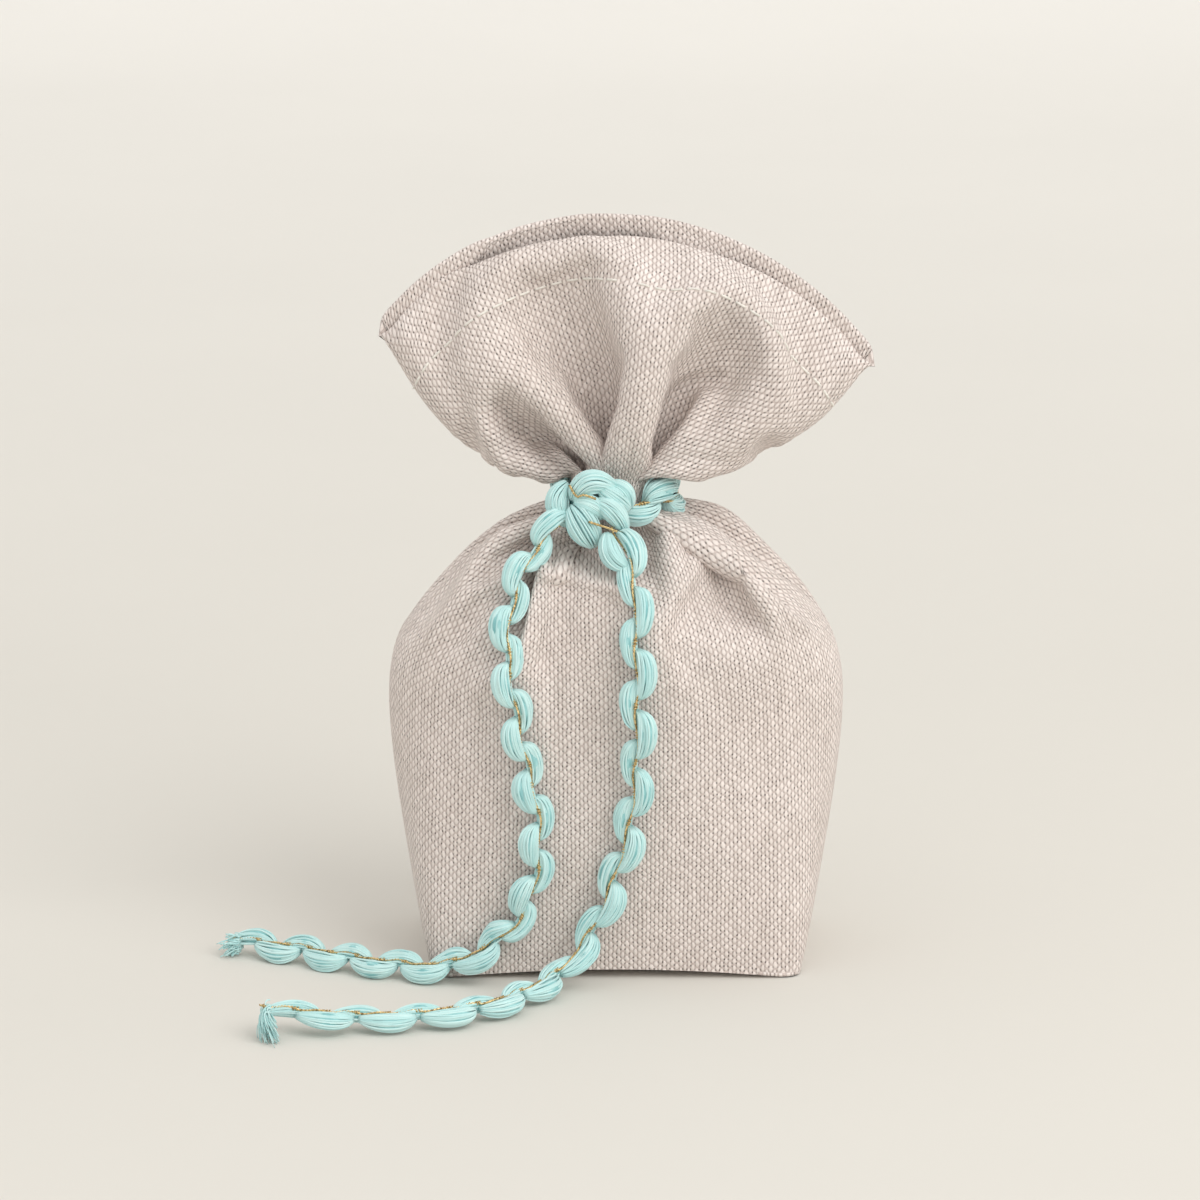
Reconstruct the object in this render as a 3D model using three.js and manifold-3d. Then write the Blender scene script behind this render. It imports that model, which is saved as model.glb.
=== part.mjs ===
// Small stuffed linen pouch with a boxed base, gathered at the neck and tied with puffed yarn trim.
// Millimetres, +Z up, front towards -Y, origin on the table under the middle of the pouch.
import * as THREE from "three";
import { mergeVertices } from "three/addons/utils/BufferGeometryUtils.js";
import Module from "manifold-3d";

const wasm = await Module();
wasm.setup();

// Cloth and fits
const CLOTH = 0.8;
const GAP = 0.3;
const SEAM_THICKNESS = 1.2;
const SEAM_WIDTH = 8;
const SEAM_TOP = 70;

// Body
const BASE_WIDTH = 74;
const BASE_DEPTH = 44.4;
const BASE_SQUARENESS = 15;
const BELLY_WIDTH = 92;
const BELLY_DEPTH = 51.4;
const BELLY_HEIGHT = 52;
const BELLY_SQUARENESS = 2.1;
const CORNER_FADE = 9;
const NECK_WIDTH = 17.5;
const NECK_DEPTH = 14.5;
const NECK_BOTTOM = 92;
const NECK_TOP = 99;
const BODY_SHIFT = -2;
const FILLING_TOP = 80;
const FILLING_SLACK = 0.8;

// Roundness of the body's outline: below the belly, and above it on the sides and on the front and back
const FOOT_ROUND = 1.55;
const SIDE_SHOULDER_ROUND = 2.5;
const FACE_SHOULDER_ROUND = 4.5;

// Gathers: ridges on each panel, depth of the valleys between them, heights where they begin and are full
const RIDGES = 5;
const PLEAT_DEPTH = 2;
const PLEAT_START = 72;
const PLEAT_FULL = 88;

// Folds of the shoulders on each face, their width, and the heights where they start and are full
const FOLDS = [
  { place: -16, depth: 3 },
  { place: 8, depth: 3.5 },
  { place: 20, depth: 2.5 },
];
const FOLD_WIDTH = 4;
const FOLD_START = 66;
const FOLD_FULL = 78;

// Flared lips above the tie
const LIP_TOP = 149;
const FRONT_LIP_DROP = 2.6;
const TIP_SPAN = 98.4;
const TIP_DROP = 24;
const TIP_TILT = 3.2;
const MOUTH_GAP = 10;
const LIP_BULGE = 8;
const HEM_DEPTH = 12;
const LIP_SPREAD = 0.62;
const TIP_SWEEP = 1.5;
const FOOT_TURN = 0.35;
const HEM_EDGE = 0.995;

// Yarn trim of the tie
const TRIM_WIDTH = 8.4;
const TRIM_THICKNESS = 4.2;
const TIE_CLEARANCE = 0.45;
const BINDING_WIDTH = 2.4;
const BINDING_THICKNESS = 1.8;
const LOBE_PITCH = 11.2;
const LOBE_ROUND = 0.7;
const LOBE_CROWN = 0.55;
const THREAD_DIAMETER = 0.9;
const TUFT_LENGTH = 4.5;
const TUFT_WIDTH = 5.5;
const TUFT_THICKNESS = 3;
const TUFT_OPENING = 0.25;
const TUFT_CLOSING = 2.15;

// The tie's two free lengths, from the knot down the front and out over the table
const LEFT_ROUTE = [
  [-13.5, -15.8, 91.2], [-17.2, -17.2, 88.2], [-20.3, -19.2, 83.2], [-22.2, -21.2, 78.2],
  [-23.2, -23.6, 72.5], [-23.3, -25.7, 66.1], [-22.2, -26.5, 58.2], [-20.8, -26.4, 51.1],
  [-19.3, -26.1, 44.0], [-17.8, -26.4, 37.0], [-17.4, -26.5, 30.0], [-18.0, -26.4, 23.3],
  [-20.0, -26.1, 16.6], [-24.0, -26.0, 10.3], [-29.5, -26.0, 6.0], [-35.0, -25.4, 3.6],
  [-41.0, -23.6, 2.6], [-48.0, -21.2, 2.6], [-55.1, -18.0, 2.6], [-62.4, -14.0, 2.6],
  [-70.2, -10.0, 2.6], [-79.0, -7.0, 2.6],
];
const RIGHT_ROUTE = [
  [-2.2, -17.2, 90.8], [0.2, -20.6, 86.8], [1.7, -24.4, 81.4], [1.8, -26.7, 75.0],
  [2.1, -28.0, 68.5], [2.2, -29.0, 60.3], [2.2, -29.2, 53.2], [2.0, -28.4, 46.0],
  [1.5, -27.8, 38.6], [0.3, -27.2, 31.2], [-1.7, -26.8, 24.3], [-4.0, -26.4, 17.4],
  [-6.8, -26.6, 11.0], [-10.2, -28.4, 5.6], [-14.7, -33.0, 3.0], [-19.9, -40.2, 2.6],
  [-25.6, -46.9, 2.6], [-32.3, -51.1, 2.6], [-39.0, -53.5, 2.6], [-45.7, -54.8, 2.6],
  [-52.4, -55.5, 2.8], [-59.2, -56.0, 3.4], [-65.0, -56.8, 4.2], [-70.0, -57.6, 5.0],
];
const LYING_HEIGHT = 3;
const HANGING_HEIGHT = 18;

// Puffs of the knot, in trim widths from its middle: place, half sizes, and degrees of turn in the front view
const KNOT_PUFFS = [
  { place: [0.0, -0.32, 0.46], half: [0.54, 0.36, 0.32], turn: 8 },
  { place: [-0.62, -0.12, 0.10], half: [0.34, 0.36, 0.54], turn: 12 },
  { place: [-0.10, -0.42, -0.38], half: [0.46, 0.42, 0.46], turn: 0 },
  { place: [0.46, -0.38, -0.16], half: [0.50, 0.38, 0.34], turn: 35 },
  { place: [0.62, -0.22, 0.28], half: [0.36, 0.36, 0.40], turn: -10 },
  { place: [0.04, -0.06, 0.10], half: [0.62, 0.46, 0.56], turn: 0 },
];
const KNOT_SHIFT = -5;

// Turn round the neck: how far from the middle of the front it starts at the right and ends at the left
const LOOP_START = 0.45;
const LOOP_END = 0.8;

// Mesh densities
const PANEL_COLUMNS = 48;
const LIP_ROWS = 8;
const TRIM_STEPS = 6;
const FILLING_COLUMNS = 48;
const LOOP_POINTS = 20;
const THREAD_STEPS = 3;

const linen = new THREE.MeshStandardMaterial({ color: 0xd3c7bb, roughness: 0.95, metalness: 0 });
const lining = new THREE.MeshStandardMaterial({ color: 0xc9bcae, roughness: 0.95, metalness: 0 });
const wadding = new THREE.MeshStandardMaterial({ color: 0xf1eee6, roughness: 1, metalness: 0 });
const yarn = new THREE.MeshStandardMaterial({ color: 0x9fd6d6, roughness: 0.8, metalness: 0 });
const gold = new THREE.MeshStandardMaterial({ color: 0xc9a860, roughness: 0.3, metalness: 1 });

function smooth(from, to, value) {
  return THREE.MathUtils.smoothstep(value, from, to);
}

// Half the body's width or depth at a height, from its size at the base, the belly and the neck
function halfSize(z, base, belly, neck, shoulderRound) {
  if (z < BELLY_HEIGHT) {
    return (belly - (belly - base) * (1 - z / BELLY_HEIGHT) ** FOOT_ROUND) / 2;
  }
  const rise = Math.min((z - BELLY_HEIGHT) / (NECK_BOTTOM - BELLY_HEIGHT), 1);
  return (neck + (belly - neck) * (1 - rise ** shoulderRound)) / 2;
}

function halfWidthAt(z) {
  return halfSize(z, BASE_WIDTH, BELLY_WIDTH, NECK_WIDTH, SIDE_SHOULDER_ROUND);
}

function halfDepthAt(z) {
  return halfSize(z, BASE_DEPTH, BELLY_DEPTH, NECK_DEPTH, FACE_SHOULDER_ROUND);
}

// Point of a rounded rectangle; the front runs from 0 at the right side seam to PI at the left one
function sectionPoint(angle, halfWidth, halfDepth, power, z) {
  const across = Math.cos(angle);
  const deep = Math.sin(angle);
  const reach = (Math.abs(across) ** power + Math.abs(deep) ** power) ** (-1 / power);
  return new THREE.Vector3(BODY_SHIFT + halfWidth * reach * across, -halfDepth * reach * deep, z);
}

function squareness(z) {
  return BELLY_SQUARENESS + (BASE_SQUARENESS - BELLY_SQUARENESS) * Math.exp(-z / CORNER_FADE);
}

function pleatDepth(z) {
  return PLEAT_DEPTH * smooth(PLEAT_START, PLEAT_FULL, z);
}

// How far the shoulder folds take the face in at an angle, none at the side seams and at the neck
function foldDepth(angle, z) {
  const here = sectionPoint(angle, halfWidthAt(z), halfDepthAt(z), squareness(z), z);
  const tall = smooth(FOLD_START, FOLD_FULL, z) * (1 - smooth(FILLING_TOP, NECK_BOTTOM, z));
  const wide = FOLDS.reduce((sum, { place, depth }) => {
    const away = (here.x - BODY_SHIFT - place) / FOLD_WIDTH;
    return sum + depth * Math.exp(-(away ** 2));
  }, 0);
  return tall * wide * Math.abs(here.y / halfDepthAt(z));
}

function foldedIn(point, depth) {
  point.y -= Math.sign(point.y) * depth;
  return point;
}

// Outside of the body, pleated towards the neck, moved out by a distance
function bodyOutside(angle, z, out) {
  const grow = out - pleatDepth(z) * (0.5 - 0.5 * Math.cos(2 * RIDGES * angle));
  const point = sectionPoint(angle, halfWidthAt(z) + grow, halfDepthAt(z) + grow, squareness(z), z);
  return foldedIn(point, foldDepth(angle, z));
}

// Inside of the body, moved in by a distance, closing to a slot where the neck is drawn together
function bodyInside(angle, z, inset) {
  const open = 1 - smooth(FILLING_TOP, NECK_BOTTOM, z);
  const shrink = inset + pleatDepth(z);
  const halfDepth = (halfDepthAt(z) - shrink) * open;
  const point = sectionPoint(angle, halfWidthAt(z) - shrink, halfDepth, squareness(z), z);
  return foldedIn(point, foldDepth(angle, z) * open);
}

// Closed solid between two grids of points of the same size
function shell(outer, inner) {
  const rows = outer.length;
  const columns = outer[0].length;
  const points = [...outer.flat(), ...inner.flat()];
  const index = [];
  const layer = rows * columns;
  const at = (row, column) => row * columns + column;
  const quad = (a, b, c, d) => index.push(a, b, c, a, c, d);
  for (let row = 0; row < rows - 1; row += 1) {
    for (let column = 0; column < columns - 1; column += 1) {
      const a = at(row, column);
      const b = at(row, column + 1);
      const c = at(row + 1, column + 1);
      const d = at(row + 1, column);
      quad(a, b, c, d);
      quad(d + layer, c + layer, b + layer, a + layer);
    }
  }
  const rim = [];
  for (let column = 0; column < columns - 1; column += 1) rim.push(at(0, column));
  for (let row = 0; row < rows - 1; row += 1) rim.push(at(row, columns - 1));
  for (let column = columns - 1; column > 0; column -= 1) rim.push(at(rows - 1, column));
  for (let row = rows - 1; row > 0; row -= 1) rim.push(at(row, 0));
  rim.forEach((here, i) => {
    const next = rim[(i + 1) % rim.length];
    quad(here, here + layer, next + layer, next);
  });
  return solid(points, index);
}

// Closed solid through a row of rings with the same number of points, capped at both ends
function loft(rings) {
  const sides = rings[0].length;
  const points = rings.flat();
  const index = [];
  for (let ring = 0; ring < rings.length - 1; ring += 1) {
    for (let side = 0; side < sides; side += 1) {
      const a = ring * sides + side;
      const b = ring * sides + ((side + 1) % sides);
      index.push(a, b, b + sides, a, b + sides, a + sides);
    }
  }
  const last = (rings.length - 1) * sides;
  const start = points.push(middle(rings[0])) - 1;
  const end = points.push(middle(rings[rings.length - 1])) - 1;
  for (let side = 0; side < sides; side += 1) {
    const next = (side + 1) % sides;
    index.push(start, next, side, end, last + side, last + next);
  }
  return solid(points, index);
}

function middle(points) {
  const sum = new THREE.Vector3();
  points.forEach((point) => sum.add(point));
  return sum.divideScalar(points.length);
}

// Geometry from points and triangles, turned so that its faces look outwards
function solid(points, index) {
  let volume = 0;
  for (let i = 0; i < index.length; i += 3) {
    const cross = new THREE.Vector3().crossVectors(points[index[i + 1]], points[index[i + 2]]);
    volume += points[index[i]].dot(cross);
  }
  if (volume < 0) index.reverse();
  const geometry = new THREE.BufferGeometry();
  geometry.setFromPoints(points);
  geometry.setIndex(index);
  return geometry;
}

function toManifold(geometry) {
  const bare = geometry.clone();
  bare.deleteAttribute("normal");
  bare.deleteAttribute("uv");
  const merged = mergeVertices(bare, 1e-4);
  const vertProperties = new Float32Array(merged.attributes.position.array);
  const triVerts = new Uint32Array(merged.index.array);
  return new wasm.Manifold(new wasm.Mesh({ numProp: 3, vertProperties, triVerts }));
}

function fromManifold(body) {
  const result = body.getMesh();
  const geometry = new THREE.BufferGeometry();
  geometry.setAttribute("position", new THREE.BufferAttribute(new Float32Array(result.vertProperties), 3));
  geometry.setIndex([...result.triVerts]);
  return geometry;
}

// Largest body of a cut, without the slivers that the cut leaves
function mainBody(body) {
  const bodies = body.decompose();
  return bodies.reduce((best, next) => (next.volume() > best.volume() ? next : best));
}

const group = new THREE.Group();
group.name = "linen_pouch";

function add(name, geometry, material) {
  geometry.computeVertexNormals();
  const mesh = new THREE.Mesh(geometry, material);
  mesh.name = name;
  group.add(mesh);
}

function range(from, to, steps) {
  return Array.from({ length: steps + 1 }, (_, i) => from + ((to - from) * i) / steps);
}

// Front is side 1 and back is side -1: the same outline on the two sides of the seams
function onSide(point, side, seamGap) {
  return new THREE.Vector3(point.x, side * (point.y - seamGap), point.z);
}

// Walls of the body, from the table up through the neck
const wallHeights = [
  ...range(0, CORNER_FADE, 3),
  ...range(CORNER_FADE, PLEAT_START, 6).slice(1),
  ...range(PLEAT_START, NECK_BOTTOM, 6).slice(1),
  NECK_TOP,
];
const panelAngles = range(0, Math.PI, PANEL_COLUMNS);
const ringAngles = range(0, 2 * Math.PI, 2 * PANEL_COLUMNS).slice(0, -1);

function panel(side) {
  const layer = (place) => wallHeights.map((z) => panelAngles.map((a) => onSide(place(a, z), side, GAP / 2)));
  return shell(layer((a, z) => bodyOutside(a, z, 0)), layer((a, z) => bodyInside(a, z, CLOTH)));
}
add("front_panel", panel(1), linen);
add("back_panel", panel(-1), linen);

// Base, set inside the foot of the walls
const baseRing = (z) => ringAngles.map((a) => bodyInside(a, 0, CLOTH + GAP).setZ(z));
add("base_panel", loft([baseRing(0), baseRing(CLOTH)]), linen);

// Sewn edges of the side seams, pressed against the inside of the back panel
const seamBottom = CLOTH + 2 * GAP;

function sideSeam(right) {
  const inset = CLOTH + GAP;
  const spread = SEAM_WIDTH / (BELLY_DEPTH / 2);
  const angles = panelAngles.filter((a) => a <= spread).map((a) => (right ? a : Math.PI - a));
  const heights = [seamBottom, ...wallHeights.filter((z) => z > seamBottom && z < SEAM_TOP)];
  const point = (a, z, depth) => onSide(bodyInside(a, z, depth), -1, GAP / 2);
  const layer = (depth) => heights.map((z) => angles.map((a) => point(a, z, depth)));
  return shell(layer(inset), layer(inset + SEAM_THICKNESS));
}
add("left_side_seam", sideSeam(false), lining);
add("right_side_seam", sideSeam(true), lining);

// Filling, a cushion that reaches up to the gathers
const fillingInset = CLOTH + SEAM_THICKNESS + 2 * GAP + FILLING_SLACK;
const fillingBottom = CLOTH + GAP;
const fillingAngles = range(0, 2 * Math.PI, FILLING_COLUMNS).slice(0, -1);
const innerHeights = wallHeights.filter((z) => z > fillingBottom && z < FILLING_TOP);
const fillingHeights = [fillingBottom, ...innerHeights, FILLING_TOP];
const fillingRing = (z) => fillingAngles.map((a) => bodyInside(a, z, fillingInset));
add("filling", loft(fillingHeights.map(fillingRing)), wadding);

// Lips: a fan of curves from the neck out to an arched edge
const tipRadius = ((TIP_SPAN / 2) ** 2 + TIP_DROP ** 2) / (2 * TIP_DROP);
const tipAngle = Math.asin(TIP_SPAN / 2 / tipRadius);
const hemLayers = 2 * CLOTH + GAP;

function lipEdge(angle, side) {
  const turn = (1 - angle / (Math.PI / 2)) * tipAngle;
  const x = tipRadius * Math.sin(turn);
  const top = side > 0 ? LIP_TOP - FRONT_LIP_DROP * Math.sin(angle) : LIP_TOP;
  const z = top - tipRadius * (1 - Math.cos(turn)) - (TIP_TILT * x) / (TIP_SPAN / 2);
  return new THREE.Vector3(x, -(MOUTH_GAP / 2) * Math.sin(angle), z);
}

function lipCurve(angle, side) {
  const foot = bodyOutside(angle, NECK_TOP, 0).setZ(NECK_TOP + GAP);
  const edge = lipEdge(angle, side);
  const outward = Math.abs(Math.cos(angle)) ** TIP_SWEEP;
  const bend = foot.clone().lerp(edge, LIP_SPREAD);
  bend.z = THREE.MathUtils.lerp((foot.z + edge.z) / 2, foot.z, outward);
  bend.y -= LIP_BULGE * Math.sin(angle) ** 2;
  return new THREE.QuadraticBezierCurve3(foot, bend, edge);
}

// Point of a lip layer; depth is how far it lies behind the outside of the cloth
function lipPoint(angle, along, depth, side) {
  const point = lipCurve(angle, side).getPoint(along);
  const inward = new THREE.Vector3(BODY_SHIFT - point.x, -point.y, 0).normalize();
  const flat = new THREE.Vector3(0, 1, 0);
  const direction = inward.lerp(flat, smooth(0, FOOT_TURN, along)).normalize();
  point.addScaledVector(direction, depth);
  return onSide(point, side, hemLayers + GAP / 2);
}

function lipLayer(side, from, to, depth, thickness, rows, angles) {
  const steps = range(from, to, rows);
  const layer = (d) => steps.map((s) => angles.map((a) => lipPoint(a, s, d, side)));
  return shell(layer(depth), layer(depth + thickness));
}

const hemStart = 1 - HEM_DEPTH / (LIP_TOP - NECK_TOP);
const hemAngles = range(0, Math.PI, PANEL_COLUMNS / 2);
for (const [name, side] of [["front", 1], ["back", -1]]) {
  add(`${name}_lip`, lipLayer(side, 0, 1, 0, CLOTH, LIP_ROWS, panelAngles), linen);
  add(`${name}_hem`, lipLayer(side, hemStart, HEM_EDGE, CLOTH + GAP, CLOTH, 2, hemAngles), lining);
}

// Middle of the tie's turn round the neck
const loopHeight = NECK_TOP - TRIM_WIDTH / 2;

// Space taken by the body and by the knot, with the clearance that the tie keeps from them
const clearHeights = [...wallHeights.slice(0, -1), NECK_TOP + TRIM_WIDTH];
const clearRing = (z) => ringAngles.map((a) => bodyOutside(a, z, TIE_CLEARANCE));
const bodySpace = toManifold(loft(clearHeights.map(clearRing)));

function knotBody(clearance) {
  const middleOfKnot = [BODY_SHIFT + KNOT_SHIFT, -(NECK_DEPTH / 2 + TRIM_THICKNESS), loopHeight];
  const puffs = KNOT_PUFFS.map(({ place, half, turn }) => {
    const puff = new THREE.SphereGeometry(1, 10, 7);
    puff.scale(...half.map((share) => share * TRIM_WIDTH + clearance));
    puff.rotateY(THREE.MathUtils.degToRad(turn));
    puff.translate(...place.map((share, axis) => middleOfKnot[axis] + share * TRIM_WIDTH));
    return toManifold(puff);
  });
  return puffs.reduce((whole, puff) => whole.add(puff));
}
const knotSpace = knotBody(GAP);

// Width of a trim lobe, from none at its bindings to full half way between them
function lobe(phase) {
  return Math.abs(Math.sin(Math.PI * phase)) ** LOBE_ROUND;
}

function frameAt(curve, t, facing) {
  const centre = curve.getPointAt(t);
  const tangent = curve.getTangentAt(t);
  const across = new THREE.Vector3().crossVectors(tangent, facing(centre)).normalize();
  const normal = new THREE.Vector3().crossVectors(across, tangent).normalize();
  return { centre, across, normal };
}

function ringPoints({ centre, across, normal }, corners) {
  return corners.map(([a, n]) => centre.clone().addScaledVector(across, a).addScaledVector(normal, n));
}

// Trim: lobes on alternate sides of a thin middle, one each side in every pitch
function trim(curve, facing) {
  const length = curve.getLength();
  const steps = Math.round((length / LOBE_PITCH) * TRIM_STEPS);
  const rings = range(0, 1, steps).map((t) => {
    const phase = (t * length) / LOBE_PITCH;
    const left = lobe(phase);
    const right = lobe(phase + 0.5);
    const width = (l) => (BINDING_WIDTH + (TRIM_WIDTH - BINDING_WIDTH) * l) / 2;
    const thick = (l) => (BINDING_THICKNESS + (TRIM_THICKNESS - BINDING_THICKNESS) * l) / 2;
    const corners = [
      [-width(left), 0],
      [-LOBE_CROWN * width(left), thick(left)],
      [0, BINDING_THICKNESS / 2],
      [LOBE_CROWN * width(right), thick(right)],
      [width(right), 0],
      [LOBE_CROWN * width(right), -thick(right)],
      [0, -BINDING_THICKNESS / 2],
      [-LOBE_CROWN * width(left), -thick(left)],
    ];
    return ringPoints(frameAt(curve, t, facing), corners);
  });
  return loft(rings);
}

// Metallic thread, along the groove in the face of the trim
function thread(curve, facing) {
  const steps = Math.round((curve.getLength() / LOBE_PITCH) * THREAD_STEPS);
  const radius = THREAD_DIAMETER / 2;
  const lift = BINDING_THICKNESS / 2 + GAP + radius;
  const corners = range(0, 2 * Math.PI, 5).slice(0, -1);
  const section = corners.map((a) => [radius * Math.cos(a), lift + radius * Math.sin(a)]);
  return loft(range(0, 1, steps).map((t) => ringPoints(frameAt(curve, t, facing), section)));
}

// Frayed end that flares from the last binding of a tail
function tuft(curve, facing) {
  const end = curve.getPointAt(1);
  const ahead = curve.getTangentAt(1);
  const tip = end.clone().addScaledVector(ahead, GAP + TUFT_LENGTH);
  const path = new THREE.LineCurve3(end.clone().addScaledVector(ahead, GAP), tip);
  const angles = range(0, 2 * Math.PI, 8).slice(0, -1);
  return loft([0, 0.4, 0.8, 1].map((t) => {
    const flare = Math.sin(THREE.MathUtils.lerp(TUFT_OPENING, TUFT_CLOSING, t)) / 2;
    const wide = TUFT_WIDTH * flare;
    const thick = TUFT_THICKNESS * flare;
    return ringPoints(frameAt(path, t, facing), angles.map((a) => [wide * Math.cos(a), thick * Math.sin(a)]));
  }));
}

// Turn round the neck, from the knot's right side, behind, to its left side
const loopReach = GAP + TRIM_THICKNESS / 2;
const loopAngles = range(-Math.PI / 2 + LOOP_START, (3 * Math.PI) / 2 - LOOP_END, LOOP_POINTS);
const loopPoints = loopAngles.map((a) => new THREE.Vector3(
  BODY_SHIFT + (NECK_WIDTH / 2 + loopReach) * Math.cos(a),
  (NECK_DEPTH / 2 + loopReach) * Math.sin(a),
  loopHeight,
));
const loopCurve = new THREE.CatmullRomCurve3(loopPoints);
const fromNeck = (point) => new THREE.Vector3(point.x - BODY_SHIFT, point.y, 0).normalize();
const clearOfKnot = (geometry) => mainBody(toManifold(geometry).subtract(knotSpace).subtract(bodySpace));

add("tie_neck_loop", fromManifold(clearOfKnot(trim(loopCurve, fromNeck))), yarn);
add("tie_loop_thread", fromManifold(clearOfKnot(thread(loopCurve, fromNeck))), gold);
add("tie_knot", fromManifold(mainBody(knotBody(0).subtract(bodySpace))), yarn);

// Hanging trim faces forwards; trim on the table lies flat
const forwards = new THREE.Vector3(0, -1, 0.1);
const upwards = new THREE.Vector3(0, -0.1, 1);

function fromCloth(point) {
  const hanging = smooth(LYING_HEIGHT, HANGING_HEIGHT, point.z);
  return upwards.clone().lerp(forwards, hanging).normalize();
}

for (const [name, route] of [["left", LEFT_ROUTE], ["right", RIGHT_ROUTE]]) {
  const curve = new THREE.CatmullRomCurve3(route.map((point) => new THREE.Vector3(...point)));
  add(`tie_${name}_tail`, fromManifold(clearOfKnot(trim(curve, fromCloth))), yarn);
  add(`tie_${name}_thread`, fromManifold(clearOfKnot(thread(curve, fromCloth))), gold);
  add(`tie_${name}_tuft`, tuft(curve, fromCloth), yarn);
}

export default group;
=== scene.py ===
"""Looks of the linen pouch: cloth relaxed over its filling, a tie of puffed yarn trim, soft studio light.

Metres, +Z up, front towards -Y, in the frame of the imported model.
"""
import math

import bpy
import numpy as np
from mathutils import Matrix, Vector


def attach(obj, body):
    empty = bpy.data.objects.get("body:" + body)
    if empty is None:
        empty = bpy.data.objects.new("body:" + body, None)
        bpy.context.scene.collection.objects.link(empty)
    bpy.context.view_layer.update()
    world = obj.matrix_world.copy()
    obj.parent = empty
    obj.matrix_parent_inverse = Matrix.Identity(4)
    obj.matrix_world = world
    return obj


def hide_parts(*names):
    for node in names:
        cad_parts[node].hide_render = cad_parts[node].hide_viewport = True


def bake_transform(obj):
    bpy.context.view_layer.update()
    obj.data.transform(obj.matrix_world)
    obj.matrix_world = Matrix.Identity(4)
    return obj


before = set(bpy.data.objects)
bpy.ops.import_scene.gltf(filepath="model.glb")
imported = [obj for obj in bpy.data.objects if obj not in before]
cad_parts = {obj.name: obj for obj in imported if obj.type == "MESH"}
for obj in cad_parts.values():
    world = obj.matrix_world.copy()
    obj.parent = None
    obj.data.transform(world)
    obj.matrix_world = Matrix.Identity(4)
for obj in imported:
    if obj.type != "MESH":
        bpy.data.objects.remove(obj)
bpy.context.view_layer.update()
random = np.random.default_rng(11)

# Camera of the photograph
LOOK_AT = Vector((-0.0052, 0.0, 0.0722))
CAMERA_ELEVATION = math.radians(14)
CAMERA_DISTANCE = 1.0
CAMERA_LENS = 150
CAMERA_SENSOR = 36

# Cloth: round the bag, up its wall, through the tied neck, and out to the lip
GIRTH = 0.229
WALL = 0.108
NECK_BAND = 0.008
LIP = 0.0525
CLOTH_HEIGHT = WALL + NECK_BAND + LIP
HEM = 0.012
CLOTH_THICKNESS = 0.0007
HEM_THICKNESS = 0.0015
WARP_SPACING = 0.00082
WEFT_SPACING = 0.00084
COLUMNS = 128
ROWS = 84
ROW_TOLERANCE = 0.0005

# Cloth links: shares of a stretch, or of the way back to a hold, that one step takes up
LINK_SHARE = 0.95
SHEAR_SHARE = 0.25
HEM_BEND = 0.4
HEM_LONG_BEND = 0.25
STIFF_BEND = 0.3
EDGE_HOLD = 0.5
SEAM_HOLD = 0.3
NECK_HOLD = 0.1
EVEN_SHARE = 0.5
LEAST_INSIDE = 0.05
LONGEST_MOVE = 0.0015

# Weave: sizes as shares of its spacings, heights as shares of a float's, and noise scales per metre
WARP_HALF_WIDTH = 0.47
WARP_WIDTH_SPREAD = 0.10
WARP_HALF_LENGTH = 0.44
WEFT_HALF_WIDTH = 0.66
WEFT_HALF_LENGTH = 0.28
WEFT_HEIGHT = 0.25
PORE_HALF_WIDTH = 0.24
PORE_HALF_LENGTH = 0.30
PORE_RARITY = 1.5
PORE_DEPTH = 0.5
FIBRE_HEIGHT = 0.15
WEAVE_RELIEF = 0.00026
SLUB_SHIFT = 0.7
WEFT_DRIFT = 1.8
SLUB_SCALE = 420.0
DRIFT_SCALE = 130.0
BLOTCH_SCALE = 45.0
FIBRE_SCALE = 5200.0
STREAK_SCALES = (1100.0, 22.0)

# Body shape, near that of the solids: half sizes, heights, and how rounded or square each part is
BODY_SHIFT = -0.002
BASE_HALF_WIDTH = 0.037
BELLY_HALF_WIDTH = 0.0456
NECK_HALF_WIDTH = 0.0086
BASE_HALF_DEPTH = 0.021
BELLY_HALF_DEPTH = 0.025
NECK_HALF_DEPTH = 0.0071
BELLY_HEIGHT = 0.052
NECK_BOTTOM = 0.091
NECK_MIDDLE = 0.095
NECK_FLARE = 0.10
FOOT_ROUND = 1.55
SIDE_SHOULDER_ROUND = 2.7
FRONT_SHOULDER_ROUND = 5.0
BELLY_SQUARENESS = 2.25
BASE_SQUARENESS = 15.25
CORNER_FADE = 0.009
BASE_ARCH = 0.0016

# Gathers: where the cloth is drawn in, and how much shorter the middle of each wall is
GATHER_HEIGHT = 0.112
GATHER_REACH = 0.010
GATHER_SHARE = 0.4
SHORT_SHARE = 0.105
SHORT_FADE = (0.096, 0.106)

# Heights between which the first pleats deepen, and between which the body's evening out ends
PLEAT_RISE = (0.072, 0.092)
EVEN_FADE = (0.084, 0.096)

# Foot and clearances
FOOT_CLEARANCE = 0.0003
WALL_CLEARANCE = 0.0004
ARCH_HALF_WIDTH = 0.033
ARCH_SIDE = 0.012
SIDE_HALF_GAP = 0.0005
SIDE_GAP_FADE = 0.004

# Sewn edges
SEAM_LOW = 0.0015
SEAM_HIGH = 0.072
SEAM_WIDTH = 0.008
SEAM_THICKNESS = 0.0010
SEAM_SINK = 0.0005
SEAM_SINK_WIDTH = 0.0010
SEAM_THINNING = 0.85
LAYER_GAP = 0.0002

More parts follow.
